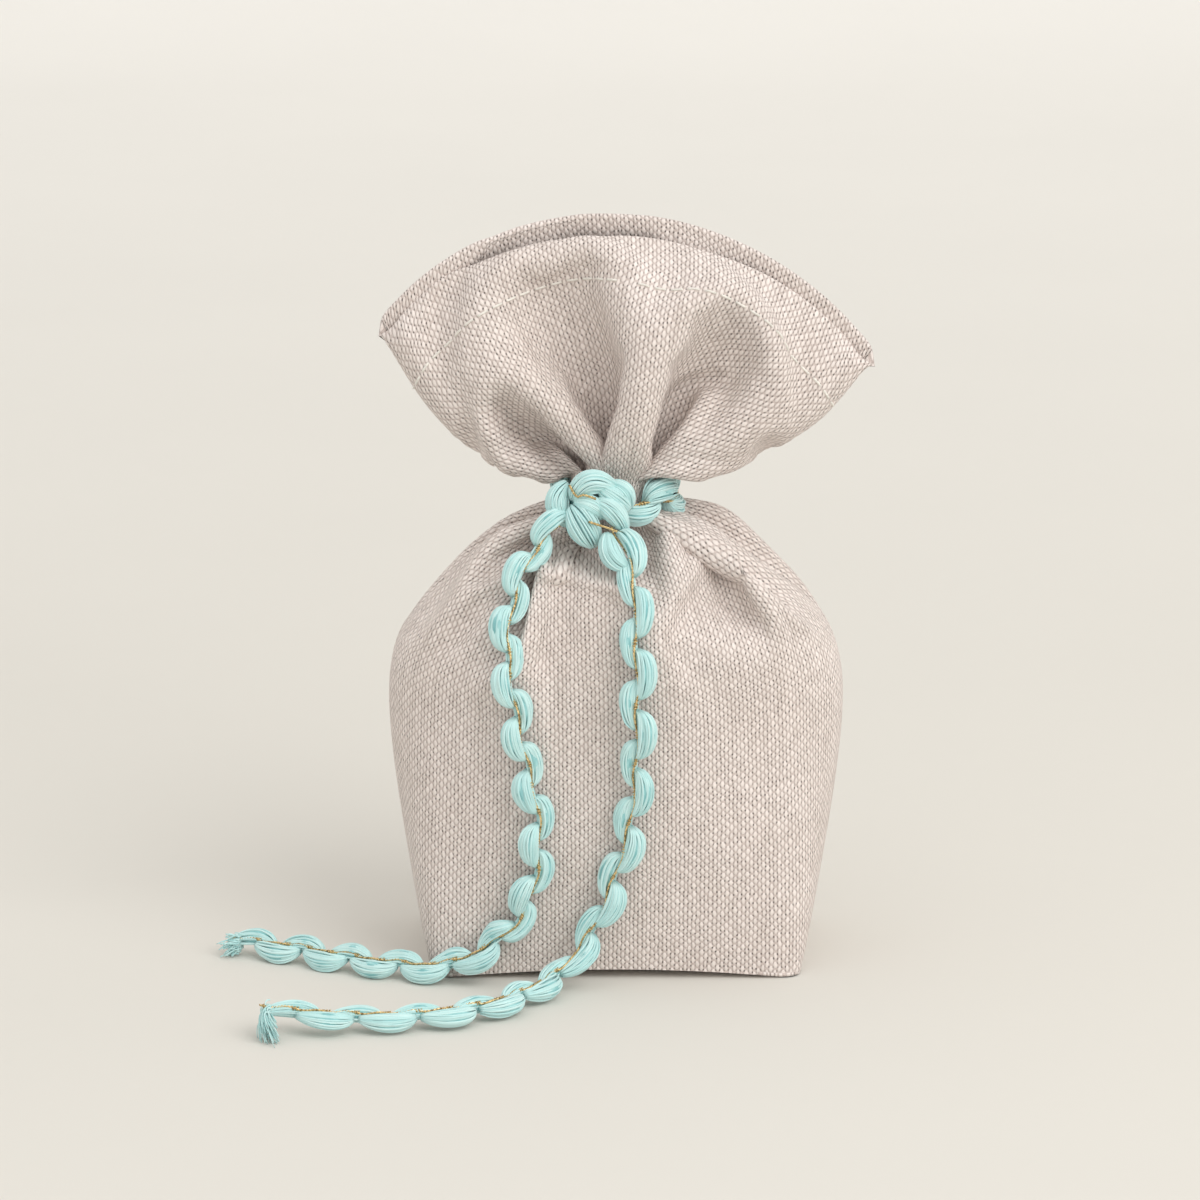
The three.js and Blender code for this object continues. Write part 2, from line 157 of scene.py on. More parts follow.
# Filling
FILLING_FOOT = 0.0022
FILLING_HEIGHT = 0.078
FILLING_INSET = 0.0034
FILLING_DEPTH_SHARE = 0.94
FILLING_SLACK = 0.38
FILLING_SLACK_RISE = (0.056, 0.078)
FILLING_LUMP = 0.012
PRESS_TOP = 0.086
GIRTH_EASE = 0.0015
FOOT_GIRTH = 0.0013
FOOT_GIRTH_FADE = 0.010
SHOULDER_RISE = 0.004
HALF_DEPTH_LIMITS = (0.005, 0.040)

# Lip edge
FRONT_TOP = 0.1461
BACK_TOP = 0.1494
TIP_HALF_SPAN = 0.0492
TIP_DROP = 0.024
TIP_TILT = 0.0032
TIP_HALF_GAP = 0.0006
MOUTH_HALF_GAP = 0.0014
LIP_SWELL = 0.007
LIP_BOW = 0.62
BACK_LIP_REACH = 0.0026
BACK_LIP_LEAN = 0.40
HEM_UPRIGHT = 0.9
SEAM_FOOT = 0.0968
LEFT_SEAM_BEND = (-0.0318, 0, 0.0945)
RIGHT_SEAM_BEND = (0.0301, 0, 0.0980)

# Pleat valleys round the cloth, from the left side seam
VALLEYS = (0.019, 0.043, 0.079, 0.103, 0.127, 0.151, 0.176, 0.201, 0.221)
PLEAT_SHARE = 0.72

# Main folds: place round the cloth, height up it at start and end, half width, depth (minus is a valley)
FOLDS = (
    (0.039, 0.112, 0.136, 0.006, -0.006),
    (0.028, 0.114, 0.146, 0.006, 0.003),
    (0.079, 0.112, 0.132, 0.005, -0.003),
    (0.066, 0.112, 0.146, 0.007, 0.002),
    (0.092, 0.114, 0.138, 0.006, 0.003),
    (0.040, 0.084, 0.106, 0.004, -0.004),
)
FOLD_START_FADE = 0.008
FOLD_END_FADE = 0.010

# Lines of (x, z) at the shoulders where the filling is slack, and how wide each is
SLACK_LINES = (
    (((-0.0173, 0.0860), (-0.0176, 0.0700)), 0.0050),
    (((0.0040, 0.0840), (0.0120, 0.0790), (0.0240, 0.0765)), 0.0045),
    (((-0.0330, 0.0840), (-0.0360, 0.0740)), 0.0050),
)
SLACK = 0.36

# Creases of the settled front: a line of (x, z), half width, and how far it stands forward (minus goes in)
CREASES = (
    (((-0.0130, 0.0868), (0.0030, 0.0860)), 0.0034, -0.0034),
    (((-0.0146, 0.0858), (-0.0028, 0.0838), (0.0026, 0.0828)), 0.0020, -0.0034),
    (((-0.0150, 0.0828), (-0.0028, 0.0808), (0.0026, 0.0798)), 0.0017, 0.0022),
    (((-0.0174, 0.0800), (-0.0170, 0.0660)), 0.0022, -0.0018),
    (((0.0030, 0.0805), (0.0080, 0.0775), (0.0140, 0.0745), (0.0210, 0.0728)), 0.0028, -0.0014),
    (((0.0060, 0.0880), (0.0140, 0.0825), (0.0240, 0.0775), (0.0330, 0.0725)), 0.0036, 0.0012),
    (((-0.0170, 0.0890), (-0.0290, 0.0800), (-0.0400, 0.0690)), 0.0040, 0.0008),
    (((-0.0252, 0.1130), (-0.0190, 0.1062), (-0.0112, 0.0990)), 0.0024, -0.0032),
)

# The tie's two free lengths, from the knot down the front and out over the table
LEFT_ROUTE = (
    (-0.0135, -0.0158, 0.0912), (-0.0172, -0.0172, 0.0882), (-0.0203, -0.0192, 0.0832),
    (-0.0222, -0.0212, 0.0782), (-0.0232, -0.0236, 0.0725), (-0.0233, -0.0257, 0.0661),
    (-0.0222, -0.0265, 0.0582), (-0.0208, -0.0264, 0.0511), (-0.0193, -0.0261, 0.0440),
    (-0.0178, -0.0264, 0.0370), (-0.0174, -0.0265, 0.0300), (-0.0180, -0.0264, 0.0233),
    (-0.0200, -0.0261, 0.0166), (-0.0240, -0.0260, 0.0103), (-0.0295, -0.0260, 0.0060),
    (-0.0350, -0.0254, 0.0036), (-0.0410, -0.0236, 0.0026), (-0.0480, -0.0212, 0.0026),
    (-0.0551, -0.0180, 0.0026), (-0.0624, -0.0140, 0.0026), (-0.0702, -0.0100, 0.0026),
    (-0.0790, -0.0070, 0.0026),
)
RIGHT_ROUTE = (
    (-0.0022, -0.0172, 0.0908), (0.0002, -0.0206, 0.0868), (0.0017, -0.0244, 0.0814),
    (0.0018, -0.0267, 0.0750), (0.0021, -0.0280, 0.0685), (0.0022, -0.0290, 0.0603),
    (0.0022, -0.0292, 0.0532), (0.0020, -0.0284, 0.0460), (0.0015, -0.0278, 0.0386),
    (0.0003, -0.0272, 0.0312), (-0.0017, -0.0268, 0.0243), (-0.0040, -0.0264, 0.0174),
    (-0.0068, -0.0266, 0.0110), (-0.0102, -0.0284, 0.0056), (-0.0147, -0.0330, 0.0030),
    (-0.0199, -0.0402, 0.0026), (-0.0256, -0.0469, 0.0026), (-0.0323, -0.0511, 0.0026),
    (-0.0390, -0.0535, 0.0026), (-0.0457, -0.0548, 0.0026), (-0.0524, -0.0555, 0.0028),
    (-0.0592, -0.0560, 0.0034), (-0.0650, -0.0568, 0.0042), (-0.0700, -0.0576, 0.0050),
)
ROUTE_STEP = 0.00025

# Each tail's lobe pitch, twist, side of its forward lobes, and first lobe's place in half pitches
LEFT_TRIM = (0.0110, math.radians(14), 1, 0.25)
RIGHT_TRIM = (0.0121, math.radians(-10), -1, 1.0)

# Yarn trim
LOOP_PITCH = 0.0116
TRIM_HALF_WIDTH = 0.0038
TRIM_HALF_THICKNESS = 0.0019
BINDING_RADIUS = 0.0005
STRAND_RADIUS = 0.00023
STRAND_WANDER = 0.00014
STRAND_SHIFT = 0.35
STRAND_LOOSENESS = 0.045
STRAND_TAPER = 0.3
STRAND_SPREAD = 0.08
STRAND_TONES = (0.4, 1)
STRANDS = 30
STRAND_POINTS = 19
HANGING_BLUNTNESS = 0.40
LYING_BLUNTNESS = 0.58
LOBE_SKEW = 0.86
LOBE_SPREAD = (0.95, 1.05)
LAST_LOBE = 0.6
HANGING_SHARE = 0.82
LYING_SHARE = 0.92
# tone of the dark core inside each lobe and puff: painted shade between the strands
CORE_SHADE_TONE = 0.12
CORE_SHARE = 0.8
CORE_RADIUS = 0.0003
PLY_RADIUS = 0.00014
PLY_TWIST = 0.0012
BEAD_RADIUS = 0.0003
BEAD_LENGTH = (0.0010, 0.0016)
BEAD_SHIFT = 0.0004
BEAD_SPREAD = (0.8, 1.2)
BEAD_TURN = 5 * np.pi
THREAD_LIFT = 0.0013
THREAD_WAVE = 0.0002
THREAD_SWAY = 0.0004
THREAD_PHASE = 0.6
THREAD_START = 0.0004
THREAD_STEP = 0.0003
THREAD_END = 0.0010
LOOP_TURN = (-np.pi / 2 - 0.05, 1.5 * np.pi - 0.75)
LOOP_FIRST_LOBE = 0.9
LOOP_HEIGHT = 0.0940
LOOP_CLEARANCE = 0.0022
LYING_HEIGHT = 0.003
HANGING_HEIGHT = 0.018
TABLE_CLEARANCE = 0.00015
TUFT_STRANDS = 130
TUFT_OVERLAP = 0.0014
TUFT_START = 0.0008
TUFT_SPREAD = 0.46
TUFT_RADII = (0.00012, 0.00022)
TUFT_LENGTHS = (0.65, 1.0)
TUFT_ONWARD = (0.5, 1.3)
TUFT_CURL = 0.12
TUFT_TAPER = 0.4
TUFT_TONES = (0.2, 1.0)

# Each tuft's longest strand, and the share of it by which the ends fall away
LEFT_TUFT = (0.0038, (0.10, -0.25, -0.20))
RIGHT_TUFT = (0.0050, (0.85, -0.50, -0.90))

# Size of a lobe and how far it stands out of the trim's face
NEAR_LOBE = (1.06, 0.0006)
FAR_LOBE = (0.92, -0.0001)
LOOP_LOBE = (1.18, 0.0007)
FLOOR_NEAR_LOBE = (0.95, -0.0002)
FLOOR_FAR_LOBE = (0.86, 0.0008)

# Colours, linear
WHITE = (1.0, 1.0, 1.0)
# painted shade for the cloth inside the bag
INSIDE_PAINTED_SHADE = (0.94, 0.93, 0.92)
FLOAT_SHADE = (0.92, 0.915, 0.91)
STREAK_SHADE = (0.94, 0.935, 0.93)
BLOTCH_SHADE = (0.94, 0.93, 0.92)
LIGHT = (1.0, 0.985, 0.96)
LINEN_HIGH = (0.90, 0.82, 0.78)
# painted shade on the weave's low parts
LINEN_LOW_PAINTED_SHADE = (0.57, 0.475, 0.44)
# painted shade seen through the pores of the weave
PORE_PAINTED_SHADE = (0.16, 0.14, 0.13)
YARN_LIGHT = (0.62, 0.86, 0.85)
YARN_MIDDLE = (0.44, 0.74, 0.74)
# painted shade between the yarn's strands
YARN_PAINTED_SHADE = (0.13, 0.40, 0.42)
GOLD = (0.87, 0.66, 0.34)
# painted shade on the gilt thread
GOLD_PAINTED_SHADE = (0.24, 0.14, 0.05)
CREAM = (0.97, 0.94, 0.88)
# painted shade in the sewing thread's twist
CREAM_PAINTED_SHADE = (0.88, 0.83, 0.75)
WADDING = (0.86, 0.84, 0.79)
# painted shade in the filling's hollows
WADDING_PAINTED_SHADE = (0.70, 0.68, 0.63)
FLOOR = (0.70, 0.68, 0.635)
FLOOR_MOTTLE = (0.985, 0.985, 0.985)
BACKDROP = (0.915, 0.90, 0.868)


def smooth(low, high, value):
    """0 below low, 1 above high, and an even rise between."""
    share = np.clip((value - low) / (high - low), 0, 1)
    return share * share * (3 - 2 * share)


def unit(vectors):
    """The same directions with length 1."""
    return vectors / (np.linalg.norm(vectors, axis=-1, keepdims=True) + 1e-12)


def bow(start, control, end, share):
    """Curve from start to end, drawn towards a control point."""
    start, control, end = (np.asarray(point, float) for point in (start, control, end))
    share = share[:, None]
    return start * (1 - share) ** 2 + 2 * control * share * (1 - share) + end * share ** 2


def distances(line):
    """Distance of each point along a line."""
    return np.concatenate([[0], np.cumsum(np.linalg.norm(np.diff(line, axis=0), axis=1))])


def directions(line, facing):
    """Directions along a line, across it, and out of its face."""
    tangent = unit(np.gradient(line, axis=0))
    across = unit(np.cross(tangent, facing))
    return tangent, across, np.cross(across, tangent)


def out_from_axis(points):
    """Level directions out from the body's upright axis."""
    return unit((points - np.array((BODY_SHIFT, 0, 0))) * np.array((1, 1, 0)))


def interpolate(at, places, values):
    """Points between those whose values are known at some places."""
    return np.stack([np.interp(at, places, values[:, axis]) for axis in range(3)], -1)


def add_object(name, data):
    """New object in the scene."""
    made = bpy.data.objects.new(name, data)
    bpy.context.scene.collection.objects.link(made)
    return made


# Camera

def make_camera():
    """Camera at the photograph's viewing angle."""
    data = bpy.data.cameras.new("camera")
    data.lens = CAMERA_LENS
    data.sensor_width = CAMERA_SENSOR
    camera = add_object("camera", data)
    back = Vector((0, -math.cos(CAMERA_ELEVATION), math.sin(CAMERA_ELEVATION)))
    camera.location = LOOK_AT + CAMERA_DISTANCE * back
    camera.rotation_euler = (-back).to_track_quat("-Z", "Y").to_euler()
    bpy.context.scene.camera = camera


# Materials

class Shader:
    """A material's nodes, with short calls for the steps that the materials share."""

    def __init__(self, name):
        self.material = bpy.data.materials.new(name)
        self.material.use_nodes = True
        self.tree = self.material.node_tree
        self.surface = self.tree.nodes["Principled BSDF"]

    def node(self, kind, inputs=(), **settings):
        made = self.tree.nodes.new(kind)
        for name, value in settings.items():
            setattr(made, name, value)
        for key, value in dict(inputs).items():
            self.put(made.inputs[key], value)
        return made

    def put(self, socket, value):
        if isinstance(value, bpy.types.NodeSocket):
            self.tree.links.new(value, socket)
        else:
            socket.default_value = value

    def math(self, operation, first, second=0.0):
        return self.node("ShaderNodeMath", {0: first, 1: second}, operation=operation).outputs[0]

    def ramp(self, share, *stops):
        made = self.node("ShaderNodeValToRGB", {"Fac": share})
        elements = made.color_ramp.elements
        while len(elements) < len(stops):
            elements.new(0.5)
        for element, (place, colour) in zip(elements, stops):
            element.position = place
            element.color = (*colour, 1)
        return made.outputs["Color"]

    def tint(self, first, second):
        inputs = {"Factor": 1.0, "A": first, "B": second}
        made = self.node("ShaderNodeMix", inputs, data_type="RGBA", blend_type="MULTIPLY")
        return made.outputs["Result"]

    def flat_place(self):
        return self.node("ShaderNodeUVMap").outputs["UV"]

    def stretch(self, place, across, along):
        return self.node("ShaderNodeMapping", {"Vector": place, "Scale": (across, along, 1.0)}).outputs[0]

    def noise(self, vector, scale, detail):
        made = self.node("ShaderNodeTexNoise", {"Vector": vector, "Scale": scale, "Detail": detail})
        return made.outputs["Fac"]

    def bump(self, height, distance):
        inputs = {"Height": height, "Distance": distance, "Strength": 1.0}
        self.put(self.surface.inputs["Normal"], self.node("ShaderNodeBump", inputs).outputs["Normal"])

    def finish(self, colour, roughness, **fixed):
        self.put(self.surface.inputs["Base Color"], colour)
        self.put(self.surface.inputs["Roughness"], roughness)
        for name, value in fixed.items():
            self.surface.inputs[name.replace("_", " ").title()].default_value = value
        return self.material


def linen(name, painted_shade):
    """Plain weave of slubby yarn by flat-cloth coordinates: round floats, with painted shade in the pores at
    their corners and in the weave's low parts.
    """
    s = Shader(name)
    place = s.flat_place()
    split = s.node("ShaderNodeSeparateXYZ", {"Vector": place})
    slub = s.math("SUBTRACT", s.noise(place, SLUB_SCALE, 1.0), 0.5)
    drift = s.math("SUBTRACT", s.noise(place, DRIFT_SCALE, 1.0), 0.5)
    across = s.math("DIVIDE", split.outputs["X"], WARP_SPACING)
    across = s.math("ADD", across, s.math("MULTIPLY", slub, SLUB_SHIFT))
    rise = s.math("DIVIDE", split.outputs["Y"], WEFT_SPACING)
    rise = s.math("ADD", rise, s.math("MULTIPLY", drift, WEFT_DRIFT))
    column = s.math("FLOOR", across)
    along = s.math("MULTIPLY", s.math("ADD", rise, column), 0.5)

    def chance(first, second):
        number = s.node("ShaderNodeCombineXYZ", {"X": first, "Y": second}).outputs[0]
        return s.node("ShaderNodeTexWhiteNoise", {"Vector": number}, noise_dimensions="2D").outputs["Value"]

    def from_middle(position):
        return s.math("ABSOLUTE", s.math("SUBTRACT", s.math("FRACT", position), 0.5))

    def dome(beside, half_width, beyond, half_length):
        width_share = s.math("POWER", s.math("DIVIDE", beside, half_width), 2.0)
        length_share = s.math("POWER", s.math("DIVIDE", beyond, half_length), 2.0)
        return s.math("MAXIMUM", s.math("SUBTRACT", 1.0, s.math("ADD", width_share, length_share)), 0.0)

    float_chance = chance(column, s.math("FLOOR", along))
    warp_width = s.math("ADD", WARP_HALF_WIDTH, s.math("MULTIPLY", float_chance, WARP_WIDTH_SPREAD))
    side = from_middle(across)
    warp = s.math("SQRT", dome(side, warp_width, from_middle(along), WARP_HALF_LENGTH))
    between = from_middle(s.math("ADD", along, 0.5))
    weft = s.math("SQRT", dome(side, WEFT_HALF_WIDTH, between, WEFT_HALF_LENGTH))
    grain = s.math("MAXIMUM", warp, s.math("MULTIPLY", weft, WEFT_HEIGHT))
    seam = s.math("ADD", across, 0.5)
    hole = dome(from_middle(seam), PORE_HALF_WIDTH, from_middle(rise), PORE_HALF_LENGTH)
    openness = s.math("POWER", chance(s.math("FLOOR", seam), s.math("FLOOR", rise)), PORE_RARITY)
    pore = s.math("MULTIPLY", hole, openness)
    # colour follows the weave's height: painted shade on the low weft and float edges, the cloth's own colour
    # on the float tops
    colour = s.ramp(grain, (0.0, LINEN_LOW_PAINTED_SHADE), (0.7, LINEN_HIGH))
    # painted shade: the pores are darkened for the shade that falls between the threads
    pore_painted_shade = s.ramp(pore, (0.0, WHITE), (1.0, PORE_PAINTED_SHADE))
    varied = s.ramp(float_chance, (0.0, FLOAT_SHADE), (1.0, WHITE))
    long_noise = s.noise(s.stretch(place, *STREAK_SCALES), 1.0, 1.0)
    streaks = s.ramp(long_noise, (0.35, STREAK_SHADE), (0.6, WHITE))
    blotch = s.ramp(s.noise(place, BLOTCH_SCALE, 3.0), (0.3, BLOTCH_SHADE), (0.7, WHITE))
    for tint in (pore_painted_shade, varied, streaks, blotch, (*painted_shade, 1)):
        colour = s.tint(colour, tint)
    height = s.math("SUBTRACT", grain, s.math("MULTIPLY", pore, PORE_DEPTH))
    fibres = s.math("MULTIPLY", s.noise(place, FIBRE_SCALE, 2.0), FIBRE_HEIGHT)
    s.bump(s.math("ADD", height, fibres), WEAVE_RELIEF)
    return s.finish(colour, 0.92, sheen_weight=0.12, sheen_roughness=0.6)


def yarn():
    """Soft shiny cotton strands with fine fibres along them; each strand's tone differs at random, and
    painted shade darkens the bundles' cores and the low parts of the fibre noise.
    """
    s = Shader("yarn")
    tone_and_shade = s.node("ShaderNodeAttribute", attribute_name="tone_and_shade").outputs["Fac"]
    fibres = s.noise(s.stretch(s.flat_place(), 9.0, 260.0), 1.0, 3.0)
    share = s.math("ADD", s.math("MULTIPLY", tone_and_shade, 0.7), s.math("MULTIPLY", fibres, 0.3))
    colour = s.ramp(share, (0.15, YARN_PAINTED_SHADE), (0.32, YARN_MIDDLE), (0.8, YARN_LIGHT))
    s.bump(fibres, 0.00012)
    return s.finish(colour, 0.62, sheen_weight=0.25, sheen_roughness=0.4)


def metallic_thread():
    """Thin gilt thread with broken glints; its dark flecks are painted shade, dark where the bump is low."""
    s = Shader("metallic_thread")
    shade_flecks = s.noise(s.stretch(s.flat_place(), 2.0, 1400.0), 1.0, 2.0)
    colour = s.ramp(shade_flecks, (0.36, GOLD_PAINTED_SHADE), (0.56, GOLD))
    s.bump(shade_flecks, 0.0001)
    return s.finish(colour, 0.28, metallic=1.0)


def sewing_thread():
    """Cream cotton thread of the hem stitches, with painted shade in the grooves of its twist."""
    s = Shader("sewing_thread")
    inputs = {"Vector": s.flat_place(), "Scale": 500.0}
    twist = s.node("ShaderNodeTexWave", inputs, bands_direction="DIAGONAL").outputs["Fac"]
    colour = s.ramp(twist, (0.0, CREAM_PAINTED_SHADE), (0.6, CREAM))
    s.bump(twist, 0.00002)
    return s.finish(colour, 0.7)


def wadding():
    """White fibre filling, with painted shade in the hollows between its tufts."""
    s = Shader("wadding")
    tufts = s.noise(s.node("ShaderNodeTexCoord").outputs["Object"], 240.0, 5.0)
    colour = s.ramp(tufts, (0.3, WADDING_PAINTED_SHADE), (0.7, WADDING))
    s.bump(tufts, 0.001)
    return s.finish(colour, 1.0)


# Meshes

def make_piece(name, points, faces, material, uv=None, tone_and_shade=None, normals=None):
    """Mesh object; its points' flat coordinates, tones with any painted shade, and normals are given where
    needed.
    """
    mesh = bpy.data.meshes.new(name)
    mesh.from_pydata(np.asarray(points).tolist(), [], [list(map(int, face)) for face in faces])
    mesh.polygons.foreach_set("use_smooth", np.ones(len(mesh.polygons), bool))
    corner_points = np.zeros(len(mesh.loops), np.int32)
    mesh.loops.foreach_get("vertex_index", corner_points)
    if uv is not None:
        layer = mesh.uv_layers.new(name="UVMap")
        layer.data.foreach_set("uv", np.asarray(uv, np.float32)[corner_points].ravel())
    if tone_and_shade is not None:
        attribute = mesh.attributes.new("tone_and_shade", "FLOAT", "POINT")
        attribute.data.foreach_set("value", np.asarray(tone_and_shade, np.float32))
    mesh.materials.append(material)
    mesh.update()
    if normals is not None:
        mesh.normals_split_custom_set_from_vertices(np.asarray(normals).tolist())
    return add_object(name, mesh)


def dress(piece, node):
    """Rides a piece on the pouch, in place of a CAD node."""
    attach(piece, "pouch")
    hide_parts(node)


def grid_faces(rows, columns, closed_rows=False, closed_columns=False):
    """Quads of a grid of points, row by row, joined round where it is closed."""
    index = np.arange(rows * columns).reshape(rows, columns)
    if closed_rows:
        index = np.concatenate([index, index[:1]])
    if closed_columns:
        index = np.concatenate([index, index[:, :1]], axis=1)
    corners = (index[:-1, :-1], index[:-1, 1:], index[1:, 1:], index[1:, :-1])
    return np.stack(corners, -1).reshape(-1, 4)


class Strands:
    """Many closed tubes gathered into one mesh."""

    def __init__(self):
        self.points = []
        self.faces = []
        self.uv = []
        self.tone_and_shade = []
        self.count = 0

    def add(self, line, radius, facing, sides, tone_and_shade=0.5, flatten=None):
        """One tube along a line of points; flatten gives it another radius towards the facing side."""
        line = np.asarray(line)
        _, across, normal = directions(line, facing)
        radius = np.broadcast_to(radius, len(line))
        second = radius if flatten is None else np.broadcast_to(flatten, len(line))
        turn = np.linspace(0, 2 * np.pi, sides, endpoint=False)
        ring = line[:, None] + across[:, None] * (radius[:, None] * np.cos(turn))[..., None]
        ring = ring + normal[:, None] * (second[:, None] * np.sin(turn))[..., None]
        ring[..., 2] = np.maximum(ring[..., 2], TABLE_CLEARANCE)
        uv = np.stack(np.broadcast_arrays(turn / (2 * np.pi), distances(line)[:, None]), -1)
        faces = grid_faces(len(line), sides, closed_columns=True)[:, ::-1] + self.count
        last = self.count + (len(line) - 1) * sides
        self.points.append(ring.reshape(-1, 3))
        self.uv.append(uv.reshape(-1, 2))
        self.tone_and_shade.append(np.full(len(line) * sides, tone_and_shade))
        self.faces.extend(faces.tolist())
        self.faces.append(list(range(self.count, self.count + sides)))
        self.faces.append(list(range(last + sides - 1, last - 1, -1)))
        self.count += len(line) * sides

    def piece(self, name, material):
        points, uv, tone_and_shade = (np.concatenate(parts) for parts in (self.points, self.uv, self.tone_and_shade))
        return make_piece(name, points, self.faces, material, uv, tone_and_shade)


# Yarn trim

class Route:
    """Smooth line through chosen points, with the directions across it and out of its face."""

    def __init__(self, points, facing, twist=0.0, pitch=LOOP_PITCH):
        points = np.asarray(points, float)
        ends = np.concatenate([[2 * points[0] - points[1]], points, [2 * points[-1] - points[-2]]])
        share = np.linspace(0, 1, 24, endpoint=False)[:, None]
        stretches = [self.stretch(*ends[i:i + 4], share) for i in range(len(points) - 1)]
        line = np.concatenate([*stretches, points[-1:]])
        length = distances(line)
        self.length = float(length[-1])
        self.half_pitch = self.length / round(2 * self.length / pitch)
        self.at = np.linspace(0, self.length, int(self.length / ROUTE_STEP))
        self.line = interpolate(self.at, length, line)
        self.tangent, across, normal = directions(self.line, facing(self.line))
        self.across = across * math.cos(twist) + normal * math.sin(twist)
        self.normal = normal * math.cos(twist) - across * math.sin(twist)

    @staticmethod
    def stretch(before, start, end, after, share):
        """Points from start to end, on the curve through four points."""
        linear = (end - before) / 2
        square = before - 2.5 * start + 2 * end - after / 2
        cube = (after - before) / 2 + 1.5 * (start - end)
        return start + share * (linear + share * (square + share * cube))

    def sample(self, values, distance):
        """Values at distances along the line."""
        return interpolate(distance, self.at, values)

    def place(self, distance, sideways, out):
        """Points by distance along the line, moved sideways and out of its face; straight on at its ends."""
        beyond = distance - np.clip(distance, 0, self.length)
        point = self.sample(self.line, distance) + self.sample(self.tangent, distance) * beyond[:, None]
        across = self.sample(self.across, distance)
        normal = self.sample(self.normal, distance)
        return point + across * np.asarray(sideways)[:, None] + normal * np.asarray(out)[:, None]


def add_lobe(strands, route, middle, side, size, lift, lying):
    """One puff of strands that leaves the middle of the trim and comes back nearly a pitch further on."""
    share = np.linspace(0, 1, STRAND_POINTS)
    bluntness = HANGING_BLUNTNESS + (LYING_BLUNTNESS - HANGING_BLUNTNESS) * lying
    long = HANGING_SHARE + (LYING_SHARE - HANGING_SHARE) * lying
    bean = np.sin(np.pi * np.clip((share - 0.03) / 0.94, 0, 1) ** LOBE_SKEW) ** bluntness
    distance = route.half_pitch * (middle + long * (2 * share - 1))
    half_width = TRIM_HALF_WIDTH / 2 * size
    half_thickness = TRIM_HALF_THICKNESS * size
    facing = route.sample(route.normal, distance)
    sideways = side * bean * half_width
    rise = lift * bean
    core = CORE_SHARE * bean ** 3
    line = route.place(distance, sideways, rise)
    wide, thick = (CORE_RADIUS + core * half for half in (half_width, half_thickness))
    # dark core of the lobe: painted shade that shows between the strands
    strands.add(line, wide, facing, 10, CORE_SHADE_TONE, thick)
    turns = np.arange(STRANDS) + random.uniform(-STRAND_SHIFT, STRAND_SHIFT, STRANDS)
    for turn in 2 * np.pi * turns / STRANDS:
        loose = random.normal(1.0, STRAND_LOOSENESS)
        wander = random.normal(0, STRAND_WANDER) * np.sin(np.pi * share + random.uniform(-1, 1))
        reach = bean * (half_width - STRAND_RADIUS) * loose + BINDING_RADIUS * (1 - bean)
        height = bean * (half_thickness - STRAND_RADIUS) * loose + BINDING_RADIUS * (1 - bean)
        out = rise + height * math.sin(turn) + wander
        line = route.place(distance, sideways + reach * math.cos(turn) + wander, out)
        radius = STRAND_RADIUS * (1 - STRAND_TAPER + STRAND_TAPER * bean) * random.normal(1.0, STRAND_SPREAD)
        strands.add(line, radius, facing, 6, random.uniform(*STRAND_TONES))


def trim_piece(name, route, material, near_side, first, near_lobe=NEAR_LOBE, far_lobe=FAR_LOBE):
    """Lobes on alternate sides of the middle, half a pitch apart; those of the near side stand forward."""
    strands = Strands()
    for number, middle in enumerate(np.arange(first, route.length / route.half_pitch - LAST_LOBE)):
        side = near_side if number % 2 == 0 else -near_side
        height = route.sample(route.line, middle * route.half_pitch)[2]
        lying = 1 - smooth(LYING_HEIGHT, HANGING_HEIGHT, height)
        hanging_size, hanging_lift = near_lobe if side == near_side else far_lobe
        lying_size, lying_lift = FLOOR_FAR_LOBE if side == 1 else FLOOR_NEAR_LOBE
        size = hanging_size + (lying_size - hanging_size) * lying
        lift = hanging_lift + (lying_lift - hanging_lift) * lying
        add_lobe(strands, route, middle, side, size * random.uniform(*LOBE_SPREAD), lift, lying)
    return strands.piece(name, material)


def add_twist(strands, line, facing):
    """Two plies twisted about each other along a line."""
    _, across, normal = directions(line, facing)
    for start in (0, np.pi):
        turn = 2 * np.pi * distances(line) / PLY_TWIST + start
        offset = across * np.cos(turn)[:, None] + normal * np.sin(turn)[:, None]
        strands.add(line + PLY_RADIUS * offset, PLY_RADIUS, facing, 6)


def thread_piece(name, route, material):
    """Gilt thread down the middle of the trim's face, with a tight bead at each binding."""
    strands = Strands()
    distance = np.arange(THREAD_START, route.length + THREAD_END, THREAD_STEP)

    def sway(at):
        return THREAD_SWAY * np.sin(np.pi * at / route.half_pitch + THREAD_PHASE)

    lift = THREAD_LIFT + THREAD_WAVE * np.sin(2 * np.pi * distance / route.half_pitch)
    add_twist(strands, route.place(distance, sway(distance), lift), route.sample(route.normal, distance))
    turn = np.linspace(0, BEAD_TURN, 30)
    for number in range(round(route.length / route.half_pitch) + 1):
        start = number * route.half_pitch + random.normal(0, BEAD_SHIFT)
        along = start + random.uniform(*BEAD_LENGTH) * (turn / BEAD_TURN - 0.5)
        along = np.clip(along, 0, route.length)
        around = BEAD_RADIUS * random.uniform(*BEAD_SPREAD)
        line = route.place(along, sway(along) + around * np.sin(turn), THREAD_LIFT + around * np.cos(turn))
        strands.add(line, PLY_RADIUS, route.sample(route.tangent, along), 6)
    return strands.piece(name, material)


